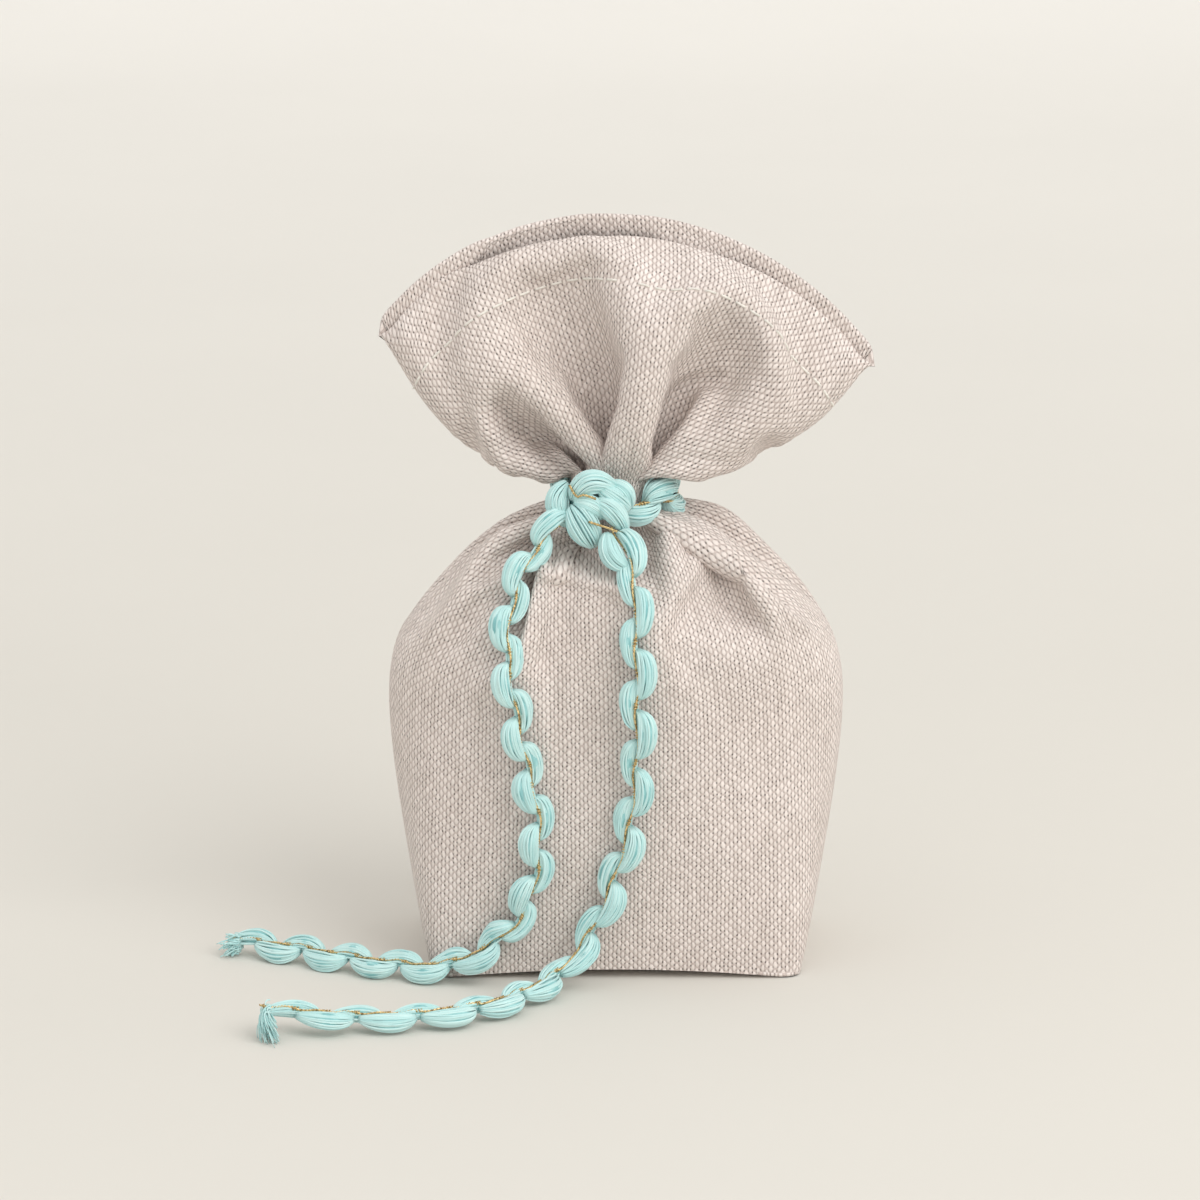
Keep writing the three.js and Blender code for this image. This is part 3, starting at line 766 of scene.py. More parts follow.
def tuft_piece(name, route, material, longest, fall):
    """Cut yarn ends that fan out past the last binding and fall away by a share of their length."""
    strands = Strands()
    share = np.linspace(0, 1, 8)[:, None]
    ahead = route.tangent[-1]
    across = route.across[-1]
    up = route.normal[-1]
    for _ in range(TUFT_STRANDS):
        length = longest * random.uniform(*TUFT_LENGTHS)
        start = route.line[-1] - TUFT_OVERLAP * ahead
        start = start + random.normal(0, TUFT_START, 2) @ np.stack([across, up])
        spread = across * random.uniform(-TUFT_SPREAD, TUFT_SPREAD)
        spread = spread + up * random.uniform(-TUFT_SPREAD, TUFT_SPREAD)
        onward = (ahead * random.uniform(*TUFT_ONWARD) + spread) * share
        curl = across * random.normal(0, TUFT_CURL) * share ** 2
        line = start + length * (onward + np.array(fall) * share ** 2 + curl)
        radius = random.uniform(*TUFT_RADII) * (1 - TUFT_TAPER * share[:, 0])
        strands.add(line, radius, up, 5, random.uniform(*TUFT_TONES))
    return strands.piece(name, material)


def tail_facing(points):
    """Hanging trim faces forwards; trim on the table lies flat."""
    lying = (1 - smooth(LYING_HEIGHT, HANGING_HEIGHT, points[:, 2]))[:, None]
    return unit(np.array((0, -1, 0.1)) * (1 - lying) + np.array((0, -0.1, 1)) * lying)


def make_tail(side, points, trim_shape, tuft_shape, yarn_material, gold_material):
    """One free length of the tie, with its gilt thread and its frayed end."""
    pitch, twist, near_side, first = trim_shape
    route = Route(points, tail_facing, twist, pitch)
    tail = trim_piece(f"yarn_{side}_tail", route, yarn_material, near_side, first)
    thread = thread_piece(f"gilt_{side}_thread", route, gold_material)
    tuft = tuft_piece(f"yarn_{side}_tuft", route, yarn_material, *tuft_shape)
    dress(tail, f"tie_{side}_tail")
    dress(thread, f"tie_{side}_thread")
    dress(tuft, f"tie_{side}_tuft")


def make_loop(yarn_material, gold_material):
    """The turn of trim round the neck, from the knot's right side behind to its left."""
    turn = np.linspace(*LOOP_TURN, 22)
    points = np.stack([
        BODY_SHIFT + (NECK_HALF_WIDTH + LOOP_CLEARANCE) * np.cos(turn),
        (NECK_HALF_DEPTH + LOOP_CLEARANCE) * np.sin(turn),
        np.full_like(turn, LOOP_HEIGHT),
    ], -1)
    route = Route(points, out_from_axis)
    loop = trim_piece("yarn_neck_loop", route, yarn_material, 1, LOOP_FIRST_LOBE, LOOP_LOBE, LOOP_LOBE)
    thread = thread_piece("gilt_loop_thread", route, gold_material)
    dress(loop, "tie_neck_loop")
    dress(thread, "tie_loop_thread")


# Knot: each puff's start, middle and end, then its half width and half thickness
KNOT_PUFFS = (
    ((-0.0112, -0.0110, 0.0930), (-0.0070, -0.0115, 0.0950), (-0.0020, -0.0110, 0.0940), 0.0038, 0.0026),
    ((-0.0029, -0.0130, 0.0990), (-0.0003, -0.0138, 0.0976), (0.0006, -0.0130, 0.0944), 0.0015, 0.0017),
    ((-0.0054, -0.0145, 0.0983), (-0.0025, -0.0155, 0.0966), (0.0004, -0.0145, 0.0942), 0.0016, 0.0016),
    ((-0.0104, -0.0145, 0.0962), (-0.0072, -0.0155, 0.0997), (-0.0023, -0.0135, 0.0981), 0.0022, 0.0021),
    ((-0.0117, -0.0130, 0.0990), (-0.0137, -0.0145, 0.0954), (-0.0114, -0.0145, 0.0912), 0.0021, 0.0022),
    ((-0.0099, -0.0155, 0.0960), (-0.0070, -0.0168, 0.0955), (-0.0043, -0.0158, 0.0930), 0.0017, 0.0017),
    ((-0.0038, -0.0190, 0.0902), (-0.0029, -0.0220, 0.0868), (0.0000, -0.0224, 0.0844), 0.0020, 0.0016),
    ((-0.0058, -0.0158, 0.0960), (-0.0025, -0.0174, 0.0942), (-0.0003, -0.0166, 0.0904), 0.0019, 0.0018),
    ((-0.0106, -0.0155, 0.0947), (-0.0084, -0.0182, 0.0915), (-0.0065, -0.0166, 0.0876), 0.0030, 0.0023),
)
KNOT_STRANDS = 44
KNOT_SPREAD = 0.12
KNOT_SHIFT = 0.4
KNOT_LOOSENESS = 0.06
KNOT_THICKNESS = (0.9, 0.1)
KNOT_TONES = (0.35, 1)

# Gilt thread showing on the knot
KNOT_THREADS = (
    (
        (-0.0112, -0.0164, 0.0994), (-0.0098, -0.0174, 0.0974),
        (-0.0083, -0.0180, 0.0978), (-0.0060, -0.0178, 0.0970),
    ),
    (
        (-0.0074, -0.0204, 0.0930), (-0.0050, -0.0204, 0.0922),
        (-0.0034, -0.0200, 0.0916), (-0.0006, -0.0194, 0.0903),
    ),
)


def knot_facing(line):
    """The knot's face looks forwards and a little up."""
    return np.tile(np.array((0.0, -1.0, 0.15)), (len(line), 1))


def add_puff(strands, start, middle, end, half_width, half_thickness):
    """A bundle of strands bowed from start through middle to end."""
    share = np.linspace(0, 1, STRAND_POINTS)
    control = 2 * np.array(middle) - (np.array(start) + np.array(end)) / 2
    line = bow(start, control, end, share)
    bean = np.sin(np.pi * np.clip(0.06 + 0.88 * share, 0, 1)) ** 0.6
    facing = knot_facing(line)
    _, across, normal = directions(line, facing)
    core = CORE_SHARE * bean ** 1.5
    # dark core of the puff: painted shade that shows between the strands
    strands.add(line, core * half_width, facing, 12, CORE_SHADE_TONE, core * half_thickness)
    for number in range(KNOT_STRANDS):
        turn = 2 * np.pi * (number + random.uniform(-KNOT_SHIFT, KNOT_SHIFT)) / KNOT_STRANDS
        loose = random.normal(1.0, KNOT_LOOSENESS)
        lean = turn + random.normal(0, KNOT_SPREAD) * (2 * share - 1)
        sideways = (bean * half_width * loose * np.cos(lean))[:, None]
        out = (bean * half_thickness * loose * np.sin(lean))[:, None]
        radius = STRAND_RADIUS * (1 - STRAND_TAPER + STRAND_TAPER * bean) * random.normal(*KNOT_THICKNESS)
        strands.add(line + across * sideways + normal * out, radius, facing, 6, random.uniform(*KNOT_TONES))


def make_knot(yarn_material, gold_material):
    """The knot in front of the neck, as puffs laid over each other, with the thread that shows on it."""
    strands = Strands()
    for puff in KNOT_PUFFS:
        add_puff(strands, *puff)
    dress(strands.piece("yarn_knot", yarn_material), "tie_knot")
    strands = Strands()
    for points in KNOT_THREADS:
        route = Route(points, knot_facing)
        add_twist(strands, route.line, route.normal)
    thread = strands.piece("gilt_knot_thread", gold_material)
    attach(thread, "pouch")


# Cloth

def profile(height, base, belly, neck, shoulder_round):
    """Half size of the body at a height, from its half sizes at the base, belly and neck."""
    height = np.asarray(height, float)
    low = belly - (belly - base) * np.clip(1 - height / BELLY_HEIGHT, 0, 1) ** FOOT_ROUND
    rise = np.clip((height - BELLY_HEIGHT) / (NECK_BOTTOM - BELLY_HEIGHT), 0, 1)
    high = neck + (belly - neck) * (1 - rise ** shoulder_round)
    return np.where(height < BELLY_HEIGHT, low, high)


def half_width(height):
    """Half width of the filled body at a height."""
    return profile(height, BASE_HALF_WIDTH, BELLY_HALF_WIDTH, NECK_HALF_WIDTH, SIDE_SHOULDER_ROUND)


def squareness(height):
    """How square the body's section is at a height; 2 is an ellipse."""
    fade = np.exp(-np.asarray(height, float) / CORNER_FADE)
    return BELLY_SQUARENESS + (BASE_SQUARENESS - BELLY_SQUARENESS) * fade


def section(half_across, half_deep, power, turn):
    """Points of a rounded rectangle."""
    cosine = np.cos(turn)
    sine = np.sin(turn)
    reach = (np.abs(cosine) ** power + np.abs(sine) ** power) ** (-1 / power)
    return half_across * reach * cosine, half_deep * reach * sine


def fill_depths():
    """Half depths by height: they fill the cloth's girth below the shoulder and close to the neck above."""
    heights = np.linspace(0, NECK_BOTTOM, 92)
    turn = np.linspace(0, 2 * np.pi, 721)
    depths = []
    for height in heights:
        low, high = HALF_DEPTH_LIMITS
        girth = GIRTH - GIRTH_EASE + FOOT_GIRTH * math.exp(-height / FOOT_GIRTH_FADE)
        for _ in range(30):
            middle = (low + high) / 2
            x, y = section(half_width(height), middle, squareness(height), turn)
            if np.hypot(np.diff(x), np.diff(y)).sum() > girth:
                high = middle
            else:
                low = middle
        depths.append(low)
    cap = profile(heights, BASE_HALF_DEPTH, BELLY_HALF_DEPTH, NECK_HALF_DEPTH, FRONT_SHOULDER_ROUND)
    depths = np.minimum(depths, np.where(heights > BELLY_HEIGHT + SHOULDER_RISE, cap, depths))
    padded = np.pad(depths, 4, mode="edge")
    return heights, np.convolve(padded, np.ones(9) / 9, "valid")


FILL_HEIGHTS, FILL_DEPTHS = fill_depths()


def half_depth(height):
    """Half depth of the filled body at a height."""
    return np.interp(height, FILL_HEIGHTS, FILL_DEPTHS)


def body_ring(height, count):
    """Evenly spaced points round the body, from the left side seam by the front."""
    turn = np.linspace(-np.pi, np.pi, 2001)
    x, y = section(half_width(height), half_depth(height), squareness(height), turn)
    length = np.concatenate([[0], np.cumsum(np.hypot(np.diff(x), np.diff(y)))])
    at = np.arange(count) / count * length[-1]
    return np.interp(at, length, x), np.interp(at, length, y)


def lip_edge(count):
    """Arched top edge, front and back, meeting at the two tips."""
    place = np.arange(count) / count
    front = place <= 0.5
    share = np.where(front, 2 * place, 2 - 2 * place)
    radius = (TIP_HALF_SPAN ** 2 + TIP_DROP ** 2) / (2 * TIP_DROP)
    turn = (2 * share - 1) * math.asin(TIP_HALF_SPAN / radius)
    x = radius * np.sin(turn)
    drop = radius * (1 - np.cos(turn)) + TIP_TILT * x / TIP_HALF_SPAN
    z = np.where(front, FRONT_TOP, BACK_TOP) - drop
    y = np.where(front, -1, 1) * (TIP_HALF_GAP + MOUTH_HALF_GAP * np.sin(np.pi * share) ** 1.2)
    return np.stack([x, y, z], -1)


def first_shape():
    """Cloth before it is relaxed: round the filling, pleated into the neck, and fanned out to the lip."""
    heights = np.linspace(0, CLOTH_HEIGHT, ROWS)
    place = np.arange(COLUMNS) / COLUMNS
    valleys = np.array((VALLEYS[-1] - GIRTH, *VALLEYS, VALLEYS[0] + GIRTH))
    phase = np.interp(place * GIRTH, valleys, np.arange(len(valleys)))
    pleat = 0.5 + 0.5 * np.cos(2 * np.pi * phase)
    levels = np.linspace(0, NECK_BOTTOM, 400)
    wall = np.hypot(np.diff((half_width(levels) + half_depth(levels)) / 2), np.diff(levels))
    wall = np.concatenate([[0], np.cumsum(wall)])
    edge = lip_edge(COLUMNS)
    share = np.where(place <= 0.5, 2 * place, 2 - 2 * place)
    outward = np.abs(2 * share - 1) ** 1.5
    points = np.zeros((ROWS, COLUMNS, 3))
    for row, up in enumerate(heights):
        if up <= WALL + NECK_BAND:
            level = np.interp(up / WALL * wall[-1], wall, levels) if up < WALL else NECK_BOTTOM + up - WALL
            x, y = body_ring(level, COLUMNS)
            drawn = 1 - PLEAT_SHARE * smooth(*PLEAT_RISE, level) * pleat
            points[row] = np.stack([BODY_SHIFT + x * drawn, y * drawn, np.full(COLUMNS, level)], -1)
            foot = points[row]
        else:
            along = (up - WALL - NECK_BAND) / LIP
            bend = foot + (edge - foot) * LIP_BOW
            bend[:, 2] = (foot[:, 2] + edge[:, 2]) / 2 * (1 - outward) + foot[:, 2] * outward
            bend[:, 1] += np.sign(foot[:, 1]) * LIP_SWELL * np.sin(np.pi * share) ** 2
            points[row] = foot * (1 - along) ** 2 + bend * 2 * along * (1 - along) + edge * along ** 2
    out = out_from_axis(points)
    for at, low, high, wide, deep in FOLDS:
        along = smooth(low, low + FOLD_START_FADE, heights)
        along = along * (1 - smooth(high - FOLD_END_FADE, high, heights))
        across = np.exp(-((place * GIRTH - at) / wide) ** 2)
        points += out * (deep * np.outer(along, across))[..., None]
    return points


def pull(points, free, first, second, rest, stiffness):
    """Moves pairs of points towards their rest distance, in place."""
    gap = points[second] - points[first]
    length = np.linalg.norm(gap, axis=-1) + 1e-12
    weight = free[first] + free[second]
    share = stiffness * (length - rest) / length / np.where(weight > 0, weight, 1)
    points[first] += gap * (share * free[first])[..., None]
    points[second] -= gap * (share * free[second])[..., None]


def near_line(points, line, wide):
    """1 on a line of (x, z) in the front view, falling to 0 away from it."""
    seen = points[..., (0, 2)]
    line = np.array(line)
    near = np.zeros(points.shape[:-1])
    for start, end in zip(line[:-1], line[1:]):
        run = end - start
        along = np.clip((seen - start) @ run / (run @ run), 0, 1)
        distance = np.linalg.norm(seen - start - along[..., None] * run, axis=-1)
        near = np.maximum(near, np.exp(-(distance / wide) ** 2))
    return near


class Cloth:
    """A tube of cloth as rows and columns of points, relaxed by position-based links."""

    def __init__(self, points):
        self.points = points.copy()
        rows, columns = points.shape[:2]
        self.speed = np.zeros_like(points)
        self.free = np.ones((rows, columns))
        self.free[0] = 0
        self.up = np.linspace(0, CLOTH_HEIGHT, rows)
        self.round = np.arange(columns) / columns * GIRTH
        self.across = GIRTH / columns
        self.along = self.up[1]
        tight = 1 - GATHER_SHARE * np.exp(-((self.up - GATHER_HEIGHT) / GATHER_REACH) ** 2)
        middle = 0.5 - 0.5 * np.cos(4 * np.pi * self.round / GIRTH)
        short = 1 - SHORT_SHARE * np.outer(1 - smooth(*SHORT_FADE, self.up), middle)
        self.rest_across = self.across * np.repeat(tight[None], columns, axis=0)
        self.rest_along = self.along * short
        self.body = self.up < WALL
        self.neck = (self.up >= WALL - ROW_TOLERANCE) & (self.up <= WALL + NECK_BAND + ROW_TOLERANCE)
        self.lip = np.where(self.up > WALL + NECK_BAND)[0]
        self.hem = slice(int(np.argmax(self.up > CLOTH_HEIGHT - HEM)), rows)
        self.stiff = slice(int(np.argmax(self.up > CLOTH_HEIGHT - 2 * HEM)), rows)
        self.edge = lip_edge(columns)
        share = (self.up[self.lip] - WALL - NECK_BAND) / LIP
        tips = self.edge[[0, columns // 2]] * np.array((1, 0, 1))
        neck_sides = [(BODY_SHIFT + side * NECK_HALF_WIDTH, 0, SEAM_FOOT) for side in (-1, 1)]
        self.arcs = [
            (0, bow(neck_sides[0], LEFT_SEAM_BEND, tips[0], share)),
            (columns // 2, bow(neck_sides[1], RIGHT_SEAM_BEND, tips[1], share)),
        ]
        self.underside = np.concatenate([self.arcs[0][1][::-1], self.arcs[1][1]])
        seam_distance = np.minimum(np.arange(columns) % (columns // 2), -np.arange(columns) % (columns // 2))
        self.side_gap = SIDE_HALF_GAP * np.clip(seam_distance * self.across / SIDE_GAP_FADE, 0, 1)
        self.front = np.arange(columns) < columns // 2
        arch = np.clip(1 - ((self.points[0, :, 0] - BODY_SHIFT) / ARCH_HALF_WIDTH) ** 2, 0, 1)
        long_sides = np.abs(self.points[0, :, 1]) > ARCH_SIDE
        self.points[0, :, 2] = FOOT_CLEARANCE + BASE_ARCH * arch * long_sides

    def link_across(self, step, stiffness, rows=slice(None)):
        """Links points round the bag that are some columns apart."""
        points = self.points[rows].swapaxes(0, 1)
        free = self.free[rows].T
        index = np.arange(len(points))
        for parity in (0, 1):
            first = index[index // step % 2 == parity]
            second = (first + step) % len(points)
            pull(points, free, first, second, step * self.rest_across[first][:, rows], stiffness)

    def link_along(self, step, stiffness):
        """Links points up the bag that are some rows apart."""
        index = np.arange(len(self.points) - step)
        for parity in (0, 1):
            first = index[index // step % 2 == parity]
            pull(self.points, self.free, first, first + step, step * self.rest_along[first], stiffness)

    def link_diagonals(self, stiffness):
        """Links opposite corners of each cell, against shear."""
        rest = math.hypot(self.across, self.along)
        for parity in (0, 1):
            rows = np.arange(parity, len(self.points) - 1, 2)
            for turn in (1, -1):
                pair = np.stack([self.points[rows], np.roll(self.points[rows + 1], -turn, axis=1)])
                free = np.stack([self.free[rows], np.roll(self.free[rows + 1], -turn, axis=1)])
                pull(pair, free, 0, 1, rest, stiffness)
                self.points[rows] = pair[0]
                self.points[rows + 1] = np.roll(pair[1], turn, axis=1)

    def hold_edges(self):
        """The lip's edge and its side seams stay near the curves that the stiff hem holds."""
        self.points[-1] += EDGE_HOLD * (self.edge - self.points[-1])
        for column, arc in self.arcs:
            self.points[self.lip, column] += SEAM_HOLD * (arc - self.points[self.lip, column])
        below = (CLOTH_HEIGHT - self.up[self.hem])[:, None]
        back = self.points[self.hem, ~self.front]
        back[..., 1] = np.minimum(back[..., 1], BACK_LIP_REACH + BACK_LIP_LEAN * below)
        self.points[self.hem, ~self.front] = back
        lips = self.points[self.lip]
        lowest = np.interp(lips[..., 0], self.underside[:, 0], self.underside[:, 2])
        self.points[self.lip, :, 2] = np.maximum(lips[..., 2], lowest)

    def press_out(self):
        """The filling pushes the wall out, less where the shoulders' valleys lie."""
        wall = self.points[self.body]
        height = np.clip(wall[..., 2], 0, PRESS_TOP)
        full = 1 - SLACK * np.max([near_line(wall, *line) for line in SLACK_LINES], axis=0)
        power = squareness(height)
        x = np.abs(wall[..., 0] - BODY_SHIFT) / (half_width(height) * full)
        y = np.abs(wall[..., 1]) / (half_depth(height) * full)
        inside = (x ** power + y ** power) ** (1 / power)
        pushed = (inside < 1) & (wall[..., 2] < PRESS_TOP) & (self.free[self.body] > 0)
        grow = np.where(pushed, 1 / np.maximum(inside, LEAST_INSIDE), 1)
        wall[..., 0] = BODY_SHIFT + (wall[..., 0] - BODY_SHIFT) * grow
        wall[..., 1] *= grow
        self.points[self.body] = wall

    def tie(self):
        """The tie keeps the neck within its turn."""
        neck = self.points[self.neck]
        lift = (self.up[self.neck] - WALL - NECK_BAND / 2)[:, None]
        grow = 1 + NECK_FLARE * (lift / (NECK_BAND / 2)) ** 2
        across = (neck[..., 0] - BODY_SHIFT) / (NECK_HALF_WIDTH * grow)
        reach = np.hypot(across, neck[..., 1] / (NECK_HALF_DEPTH * grow))
        draw = np.where(reach > 1, 1 / reach, 1)
        neck[..., 0] = BODY_SHIFT + (neck[..., 0] - BODY_SHIFT) * draw
        neck[..., 1] *= draw
        neck[..., 2] += NECK_HOLD * (NECK_MIDDLE + lift - neck[..., 2])
        self.points[self.neck] = neck

    def keep_apart(self):
        """Nothing goes below the table, and front and back stay on their own sides."""
        self.points[1:, :, 2] = np.maximum(self.points[1:, :, 2], WALL_CLEARANCE)
        y = self.points[..., 1]
        sides = (np.minimum(y, -self.side_gap), np.maximum(y, self.side_gap))
        self.points[..., 1] = np.where(self.front, *sides)

    def step(self, damping, bend, long_bend):
        """One round of links and holds, with part of the last movement carried on."""
        before = self.points.copy()
        self.points += damping * self.speed * self.free[..., None]
        for _ in range(2):
            self.link_across(1, LINK_SHARE)
            self.link_along(1, LINK_SHARE)
        self.link_diagonals(SHEAR_SHARE)
        self.link_across(2, bend)
        self.link_along(2, bend)
        self.link_across(4, long_bend)
        self.link_along(4, long_bend)
        for _ in range(3):
            self.link_across(2, HEM_BEND, self.hem)
            self.link_across(4, HEM_LONG_BEND, self.hem)
        self.link_across(8, STIFF_BEND, self.stiff)
        self.hold_edges()
        self.press_out()
        self.keep_apart()
        self.tie()
        self.speed = np.clip(self.points - before, -LONGEST_MOVE, LONGEST_MOVE)

    def even_out(self):
        """Takes out the small unevenness that the links leave on the body."""
        share = EVEN_SHARE * (1 - smooth(*EVEN_FADE, self.up))[1:-1, None, None]
        for _ in range(2):
            points = self.points
            sides = np.roll(points, 1, axis=1) + np.roll(points, -1, axis=1)
            points[1:-1] += share * ((sides[1:-1] + points[:-2] + points[2:]) / 4 - points[1:-1])


def crease(points):
    """Draws the creases on the front half of the cloth."""
    front = points[:, :points.shape[1] // 2]
    for line, wide, deep in CREASES:
        front[..., 1] -= deep * near_line(front, line, wide)


def straighten_back_lip(points, up):
    """The stiff hem keeps the back lip upright below its edge."""
    back = points[:, points.shape[1] // 2:]
    share = HEM_UPRIGHT * smooth(CLOTH_HEIGHT - HEM, CLOTH_HEIGHT, up)[:, None]
    back[..., 1] += share * (back[-1:, :, 1] - back[..., 1])


def refine(points):
    """Twice as many columns and rows, by cubic midpoints."""
    before, after, beyond = (np.roll(points, shift, axis=1) for shift in (1, -1, -2))
    wide = np.zeros((len(points), 2 * points.shape[1], 3))
    wide[:, 0::2] = points
    wide[:, 1::2] = (9 * (points + after) - before - beyond) / 16
    ends = np.concatenate([wide[:1], wide, wide[-1:]])
    fine = np.zeros((2 * len(wide) - 1, wide.shape[1], 3))
    fine[0::2] = wide
    fine[1::2] = (9 * (ends[1:-2] + ends[2:-1]) - ends[:-3] - ends[3:]) / 16
    return fine


def relaxed_cloth():
    """The cloth after it has settled, first on a coarse grid and then on a finer one."""
    coarse_steps, fine_steps = ((500, 250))
    cloth = Cloth(first_shape())
    for _ in range(coarse_steps):
        cloth.step(damping=0.9, bend=0.4, long_bend=0.12)
    cloth = Cloth(refine(cloth.points))
    for _ in range(fine_steps):
        cloth.step(damping=0.85, bend=0.5, long_bend=0.2)
    cloth.even_out()
    return cloth


def outward(points):
    """Outward normals of the tube of cloth."""
    run = np.roll(points, -1, axis=1) - np.roll(points, 1, axis=1)
    return unit(np.cross(run, np.gradient(points, axis=0)))


class Fabric:
    """The settled cloth with its outward normals, cut into sewn pieces."""

    def __init__(self, cloth):
        self.up = cloth.up
        columns = cloth.points.shape[1]
        crease(cloth.points)
        straighten_back_lip(cloth.points, cloth.up)
        normal = outward(cloth.points)
        closed = np.concatenate([cloth.points, cloth.points[:, :1]], axis=1)
        self.normal = np.concatenate([normal, normal[:, :1]], axis=1)
        self.round = np.arange(columns + 1) / columns * GIRTH
        seam = np.minimum(self.round % (GIRTH / 2), -self.round % (GIRTH / 2))
        self.pinch = np.exp(-(seam / SEAM_SINK_WIDTH) ** 2)
        self.points = closed - self.normal * (SEAM_SINK * self.pinch)[None, :, None]

    def row(self, up):
        """Row nearest to a height up the cloth."""
        return int(np.argmin(np.abs(self.up - up)))

    def column(self, place):
        """Column nearest to a place round the cloth."""
        return int(np.argmin(np.abs(self.round - place)))

    def piece(self, name, material, rows, columns, thickness, inset=0.0, round_top=False):
        """Closed piece of cloth between two rows and two columns, with a folded top where asked."""
        rows = np.arange(rows[0], rows[1] + 1)
        columns = np.arange(columns[0], columns[1] + 1)
        thickness = np.broadcast_to(thickness, len(rows))[:, None] * (1 - SEAM_THINNING * self.pinch[columns])
        thickness = thickness[..., None]
        normal = self.normal[np.ix_(rows, columns)]
        outer = self.points[np.ix_(rows, columns)] - inset * normal
        inner = outer - thickness * normal
        flat = np.stack(np.broadcast_arrays(self.round[columns][None], self.up[rows][:, None]), -1)
        fold = math.pi / 2 * thickness[-1].max() if round_top else 0
        turned = np.stack([flat[..., 0], 2 * self.up[rows[-1]] + fold - flat[..., 1]], -1)
        layers = [outer, inner[::-1]]
        normals = [normal, -normal[::-1]]
        flats = [flat, turned[::-1]]
        if round_top:
            over = unit(outer[-1] - outer[-3])
            middle = (outer[-1] + inner[-1]) / 2
            half = thickness[-1] / 2
            turn = np.linspace(0, np.pi, 6)[1:-1, None, None]
            facing = normal[-1] * np.cos(turn) + over * np.sin(turn)
            layers.insert(1, middle + half * facing)
            normals.insert(1, facing)
            flats.insert(1, flat[-1] + np.array((0, fold / math.pi)) * turn)
        points = np.concatenate(layers)
        faces = grid_faces(len(points), len(columns), closed_rows=True)
        loops = np.arange(len(points)) * len(columns)
        ends = [loops[::-1].tolist(), (loops + len(columns) - 1).tolist()]
        caps = [cap for end in ends for cap in self.cap(end)]
        return make_piece(
            name, points.reshape(-1, 3), [*faces.tolist(), *caps], material,
            np.concatenate(flats).reshape(-1, 2), normals=np.concatenate(normals).reshape(-1, 3),
        )

    @staticmethod
    def cap(loop):
        """Quads that close the end of a piece, from its outer side to its inner side."""
        count = len(loop)
        return [
            [loop[i], loop[i + 1], loop[count - 2 - i], loop[count - 1 - i]]
            for i in range(count // 2 - 1)
        ]


def make_body(fabric, cloth_material, shaded_inside_material):
    """Front and back of the body up to the tie, and the sewn edges inside the side seams."""
    top = fabric.row(WALL + NECK_BAND / 2)
    half = fabric.column(GIRTH / 2)
    whole = len(fabric.round) - 1
    for side, columns in (("front", (0, half)), ("back", (half, whole))):
        panel = fabric.piece(f"{side}_cloth", cloth_material, (0, top), columns, CLOTH_THICKNESS)
        dress(panel, f"{side}_panel")
    seam_rows = (fabric.row(SEAM_LOW), fabric.row(SEAM_HIGH))
    seam_columns = fabric.column(SEAM_WIDTH)
    inset = CLOTH_THICKNESS + LAYER_GAP
    for side, columns in (("left", (whole - seam_columns, whole)), ("right", (half, half + seam_columns))):
        # seam allowances in the darker copy of the linen: painted shade inside the bag
        strip = fabric.piece(
            f"{side}_seam_allowance", shaded_inside_material, seam_rows, columns, SEAM_THICKNESS, inset,
        )
        dress(strip, f"{side}_side_seam")


def make_base(fabric, material):
    """Base of the boxed bag, sewn in at the foot of the walls."""
    ring = fabric.points[0, :-1]
    centre = np.array((BODY_SHIFT, 0, 0))
    shares = np.linspace(1, 0.04, 12)[:, None, None]
    lower = centre + (ring - centre) * shares
    lower[..., 2] = FOOT_CLEARANCE + (ring[:, 2] - FOOT_CLEARANCE) * shares[..., 0] ** 3
    upper = lower + np.array((0, 0, CLOTH_THICKNESS))
    points = np.concatenate([lower, upper[::-1]])
    faces = grid_faces(len(points), len(ring), closed_rows=True, closed_columns=True)[:, ::-1]
    flat_points = points[..., :2].reshape(-1, 2)
    base = make_piece("base_cloth", points.reshape(-1, 3), faces, material, flat_points)
    dress(base, "base_panel")


def make_filling(material):
    """Fibre filling, lumpy under the cloth, with a crowned top below the gathers."""
    turn = np.linspace(0, 2 * np.pi, 96, endpoint=False)
    rings = []
    for share in np.linspace(0, 1, 40):
        height = FILLING_FOOT + FILLING_HEIGHT * math.sin(share * math.pi / 2)
        close = math.sqrt(max(1 - share ** 6, 0.0004))
        wide = half_width(height) - FILLING_INSET
        deep = half_depth(height) * FILLING_DEPTH_SHARE - FILLING_INSET
        x, y = section(wide, deep, squareness(height), turn)
        slack = 1 - FILLING_SLACK * smooth(*FILLING_SLACK_RISE, height)
        wave = np.sin(7 * turn + 40 * share) * np.cos(3 * turn - 25 * share)
        lump = slack - FILLING_LUMP * (1 + wave)
        ring = [BODY_SHIFT + x * lump * close, y * lump * close, np.full_like(turn, height)]
        rings.append(np.stack(ring, -1))
    points = np.concatenate(rings)
    faces = grid_faces(len(rings), len(turn), closed_columns=True).tolist()
    last = (len(rings) - 1) * len(turn)
    faces.append(list(range(len(turn) - 1, -1, -1)))
    faces.append(list(range(last, last + len(turn))))
    filling = make_piece("wadding_filling", points, faces, material)
    dress(filling, "filling")


# Hem stitches
STITCH_LENGTH = 0.0022
STITCH_PITCH = 0.0033
STITCH_RADIUS = 0.00024
STITCH_LIFT = 0.00014
STITCH_INSET = 0.0008


def bend_with_lip(piece):
    """Bakes a lip piece's placement into its points."""
    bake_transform(piece)


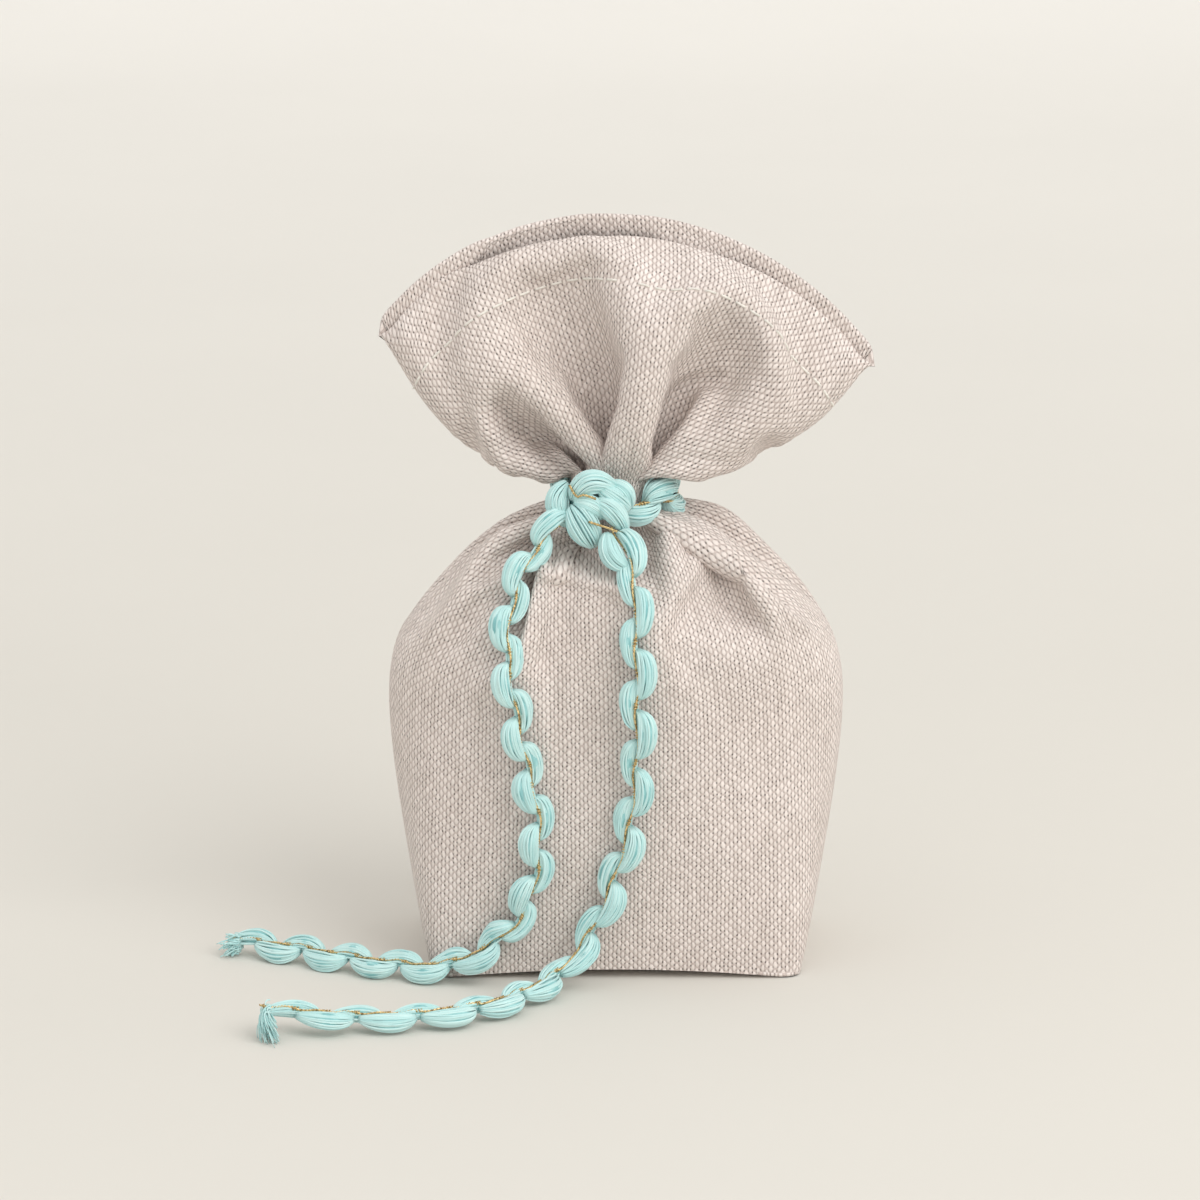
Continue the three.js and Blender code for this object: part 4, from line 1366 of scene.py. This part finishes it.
def stitch_piece(name, fabric, material, low, high):
    """Running stitches along the hem, between two places round the cloth."""
    strands = Strands()
    row = fabric.row(CLOTH_HEIGHT - HEM + STITCH_INSET)
    share = np.linspace(0, 1, 7)
    lift = STITCH_LIFT * np.sin(np.pi * share)
    for number in range(int(GIRTH / STITCH_PITCH)):
        start = number * STITCH_PITCH + STITCH_INSET
        if low <= start and start + STITCH_LENGTH <= high:
            at = start + STITCH_LENGTH * share
            out = interpolate(at, fabric.round, fabric.normal[row])
            line = interpolate(at, fabric.round, fabric.points[row])
            strands.add(line + out * lift[:, None], STITCH_RADIUS, out, 6)
    return strands.piece(name, material)


def make_lips(fabric, cloth_material, thread_material):
    """Front and back lips above the tie, each in two halves that meet at its middle crease."""
    bottom = fabric.row(WALL + NECK_BAND / 2)
    top = len(fabric.up) - 1
    in_hem = fabric.up[bottom:] > CLOTH_HEIGHT - HEM
    thickness = np.where(in_hem, HEM_THICKNESS, CLOTH_THICKNESS)
    quarters = [fabric.column(GIRTH * quarter / 4) for quarter in range(5)]
    halves = (("front", "left", -1), ("front", "right", 1), ("back", "right", 1), ("back", "left", -1))
    for number, (side, hand, sign) in enumerate(halves):
        columns = (quarters[number], quarters[number + 1])
        lip = fabric.piece(
            f"{side}_lip_{hand}", cloth_material, (bottom, top), columns, thickness, round_top=True,
        )
        places = (fabric.round[columns[0]], fabric.round[columns[1]])
        stitches = stitch_piece(f"{side}_hem_stitches_{hand}", fabric, thread_material, *places)
        for piece in (lip, stitches):
            bend_with_lip(piece)
        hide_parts(f"{side}_lip", f"{side}_hem")


# Stage

KEY_PLACE = Vector((0.95, -0.93, 1.2))
KEY_TARGET = Vector((0, 0, 0.07))
KEY_SIZE = 1.4
KEY_POWER = 13.0
SURROUND_STRENGTH = 0.95
STAGE_FRONT = -2.5
STAGE_TOP = 3.0
STAGE_HALF_WIDTH = 3.0
SWEEP_START = 1.2
SWEEP_RADIUS = 0.6


def make_stage():
    """Pale floor that sweeps up into the backdrop."""
    rise = np.linspace(0, math.pi / 2, 16)
    bend = zip(SWEEP_START + SWEEP_RADIUS * np.sin(rise), SWEEP_RADIUS * (1 - np.cos(rise)))
    profile_points = [(STAGE_FRONT, 0.0), *bend, (SWEEP_START + SWEEP_RADIUS, STAGE_TOP)]
    points = [(x, y, z) for y, z in profile_points for x in (-STAGE_HALF_WIDTH, STAGE_HALF_WIDTH)]
    faces = grid_faces(len(profile_points), 2)[:, ::-1]
    s = Shader("floor")
    place = s.node("ShaderNodeTexCoord").outputs["Object"]
    depth = s.node("ShaderNodeSeparateXYZ", {"Vector": place}).outputs["Y"]
    sweep = s.ramp(s.math("MULTIPLY", depth, 0.5), (0.1, FLOOR), (0.8, BACKDROP))
    mottle = s.ramp(s.noise(place, 6.0, 3.0), (0.3, FLOOR_MOTTLE), (0.7, WHITE))
    s.surface.inputs["Specular IOR Level"].default_value = 0.1
    floor = make_piece("floor", points, faces, s.finish(s.tint(sweep, mottle), 0.9))


def make_light():
    """Large soft light from the upper right, and an even surround."""
    data = bpy.data.lights.new("key", "AREA")
    data.shape = "DISK"
    data.size = KEY_SIZE
    data.energy = KEY_POWER
    data.color = LIGHT
    key = add_object("key", data)
    key.location = KEY_PLACE
    key.rotation_euler = (KEY_TARGET - KEY_PLACE).to_track_quat("-Z", "Y").to_euler()
    world = bpy.data.worlds.new("surround")
    bpy.context.scene.world = world
    world.use_nodes = True
    background = world.node_tree.nodes["Background"]
    background.inputs["Color"].default_value = (*LIGHT, 1)
    background.inputs["Strength"].default_value = SURROUND_STRENGTH
    bpy.context.scene.view_settings.view_transform = "Standard"


def main():
    """Camera and tie first, then the cloth and what it holds, then the stage."""
    make_camera()
    yarn_material = yarn()
    gold_material = metallic_thread()
    make_tail("left", LEFT_ROUTE, LEFT_TRIM, LEFT_TUFT, yarn_material, gold_material)
    make_tail("right", RIGHT_ROUTE, RIGHT_TRIM, RIGHT_TUFT, yarn_material, gold_material)
    make_loop(yarn_material, gold_material)
    make_knot(yarn_material, gold_material)
    fabric = Fabric(relaxed_cloth())
    cloth_material = linen("linen", WHITE)
    # the seam allowances inside the bag take a darker copy of the linen as painted shade
    shaded_inside_material = linen("linen_inside", INSIDE_PAINTED_SHADE)
    make_filling(wadding())
    make_body(fabric, cloth_material, shaded_inside_material)
    make_base(fabric, cloth_material)
    make_lips(fabric, cloth_material, sewing_thread())
    make_stage()
    make_light()


main()
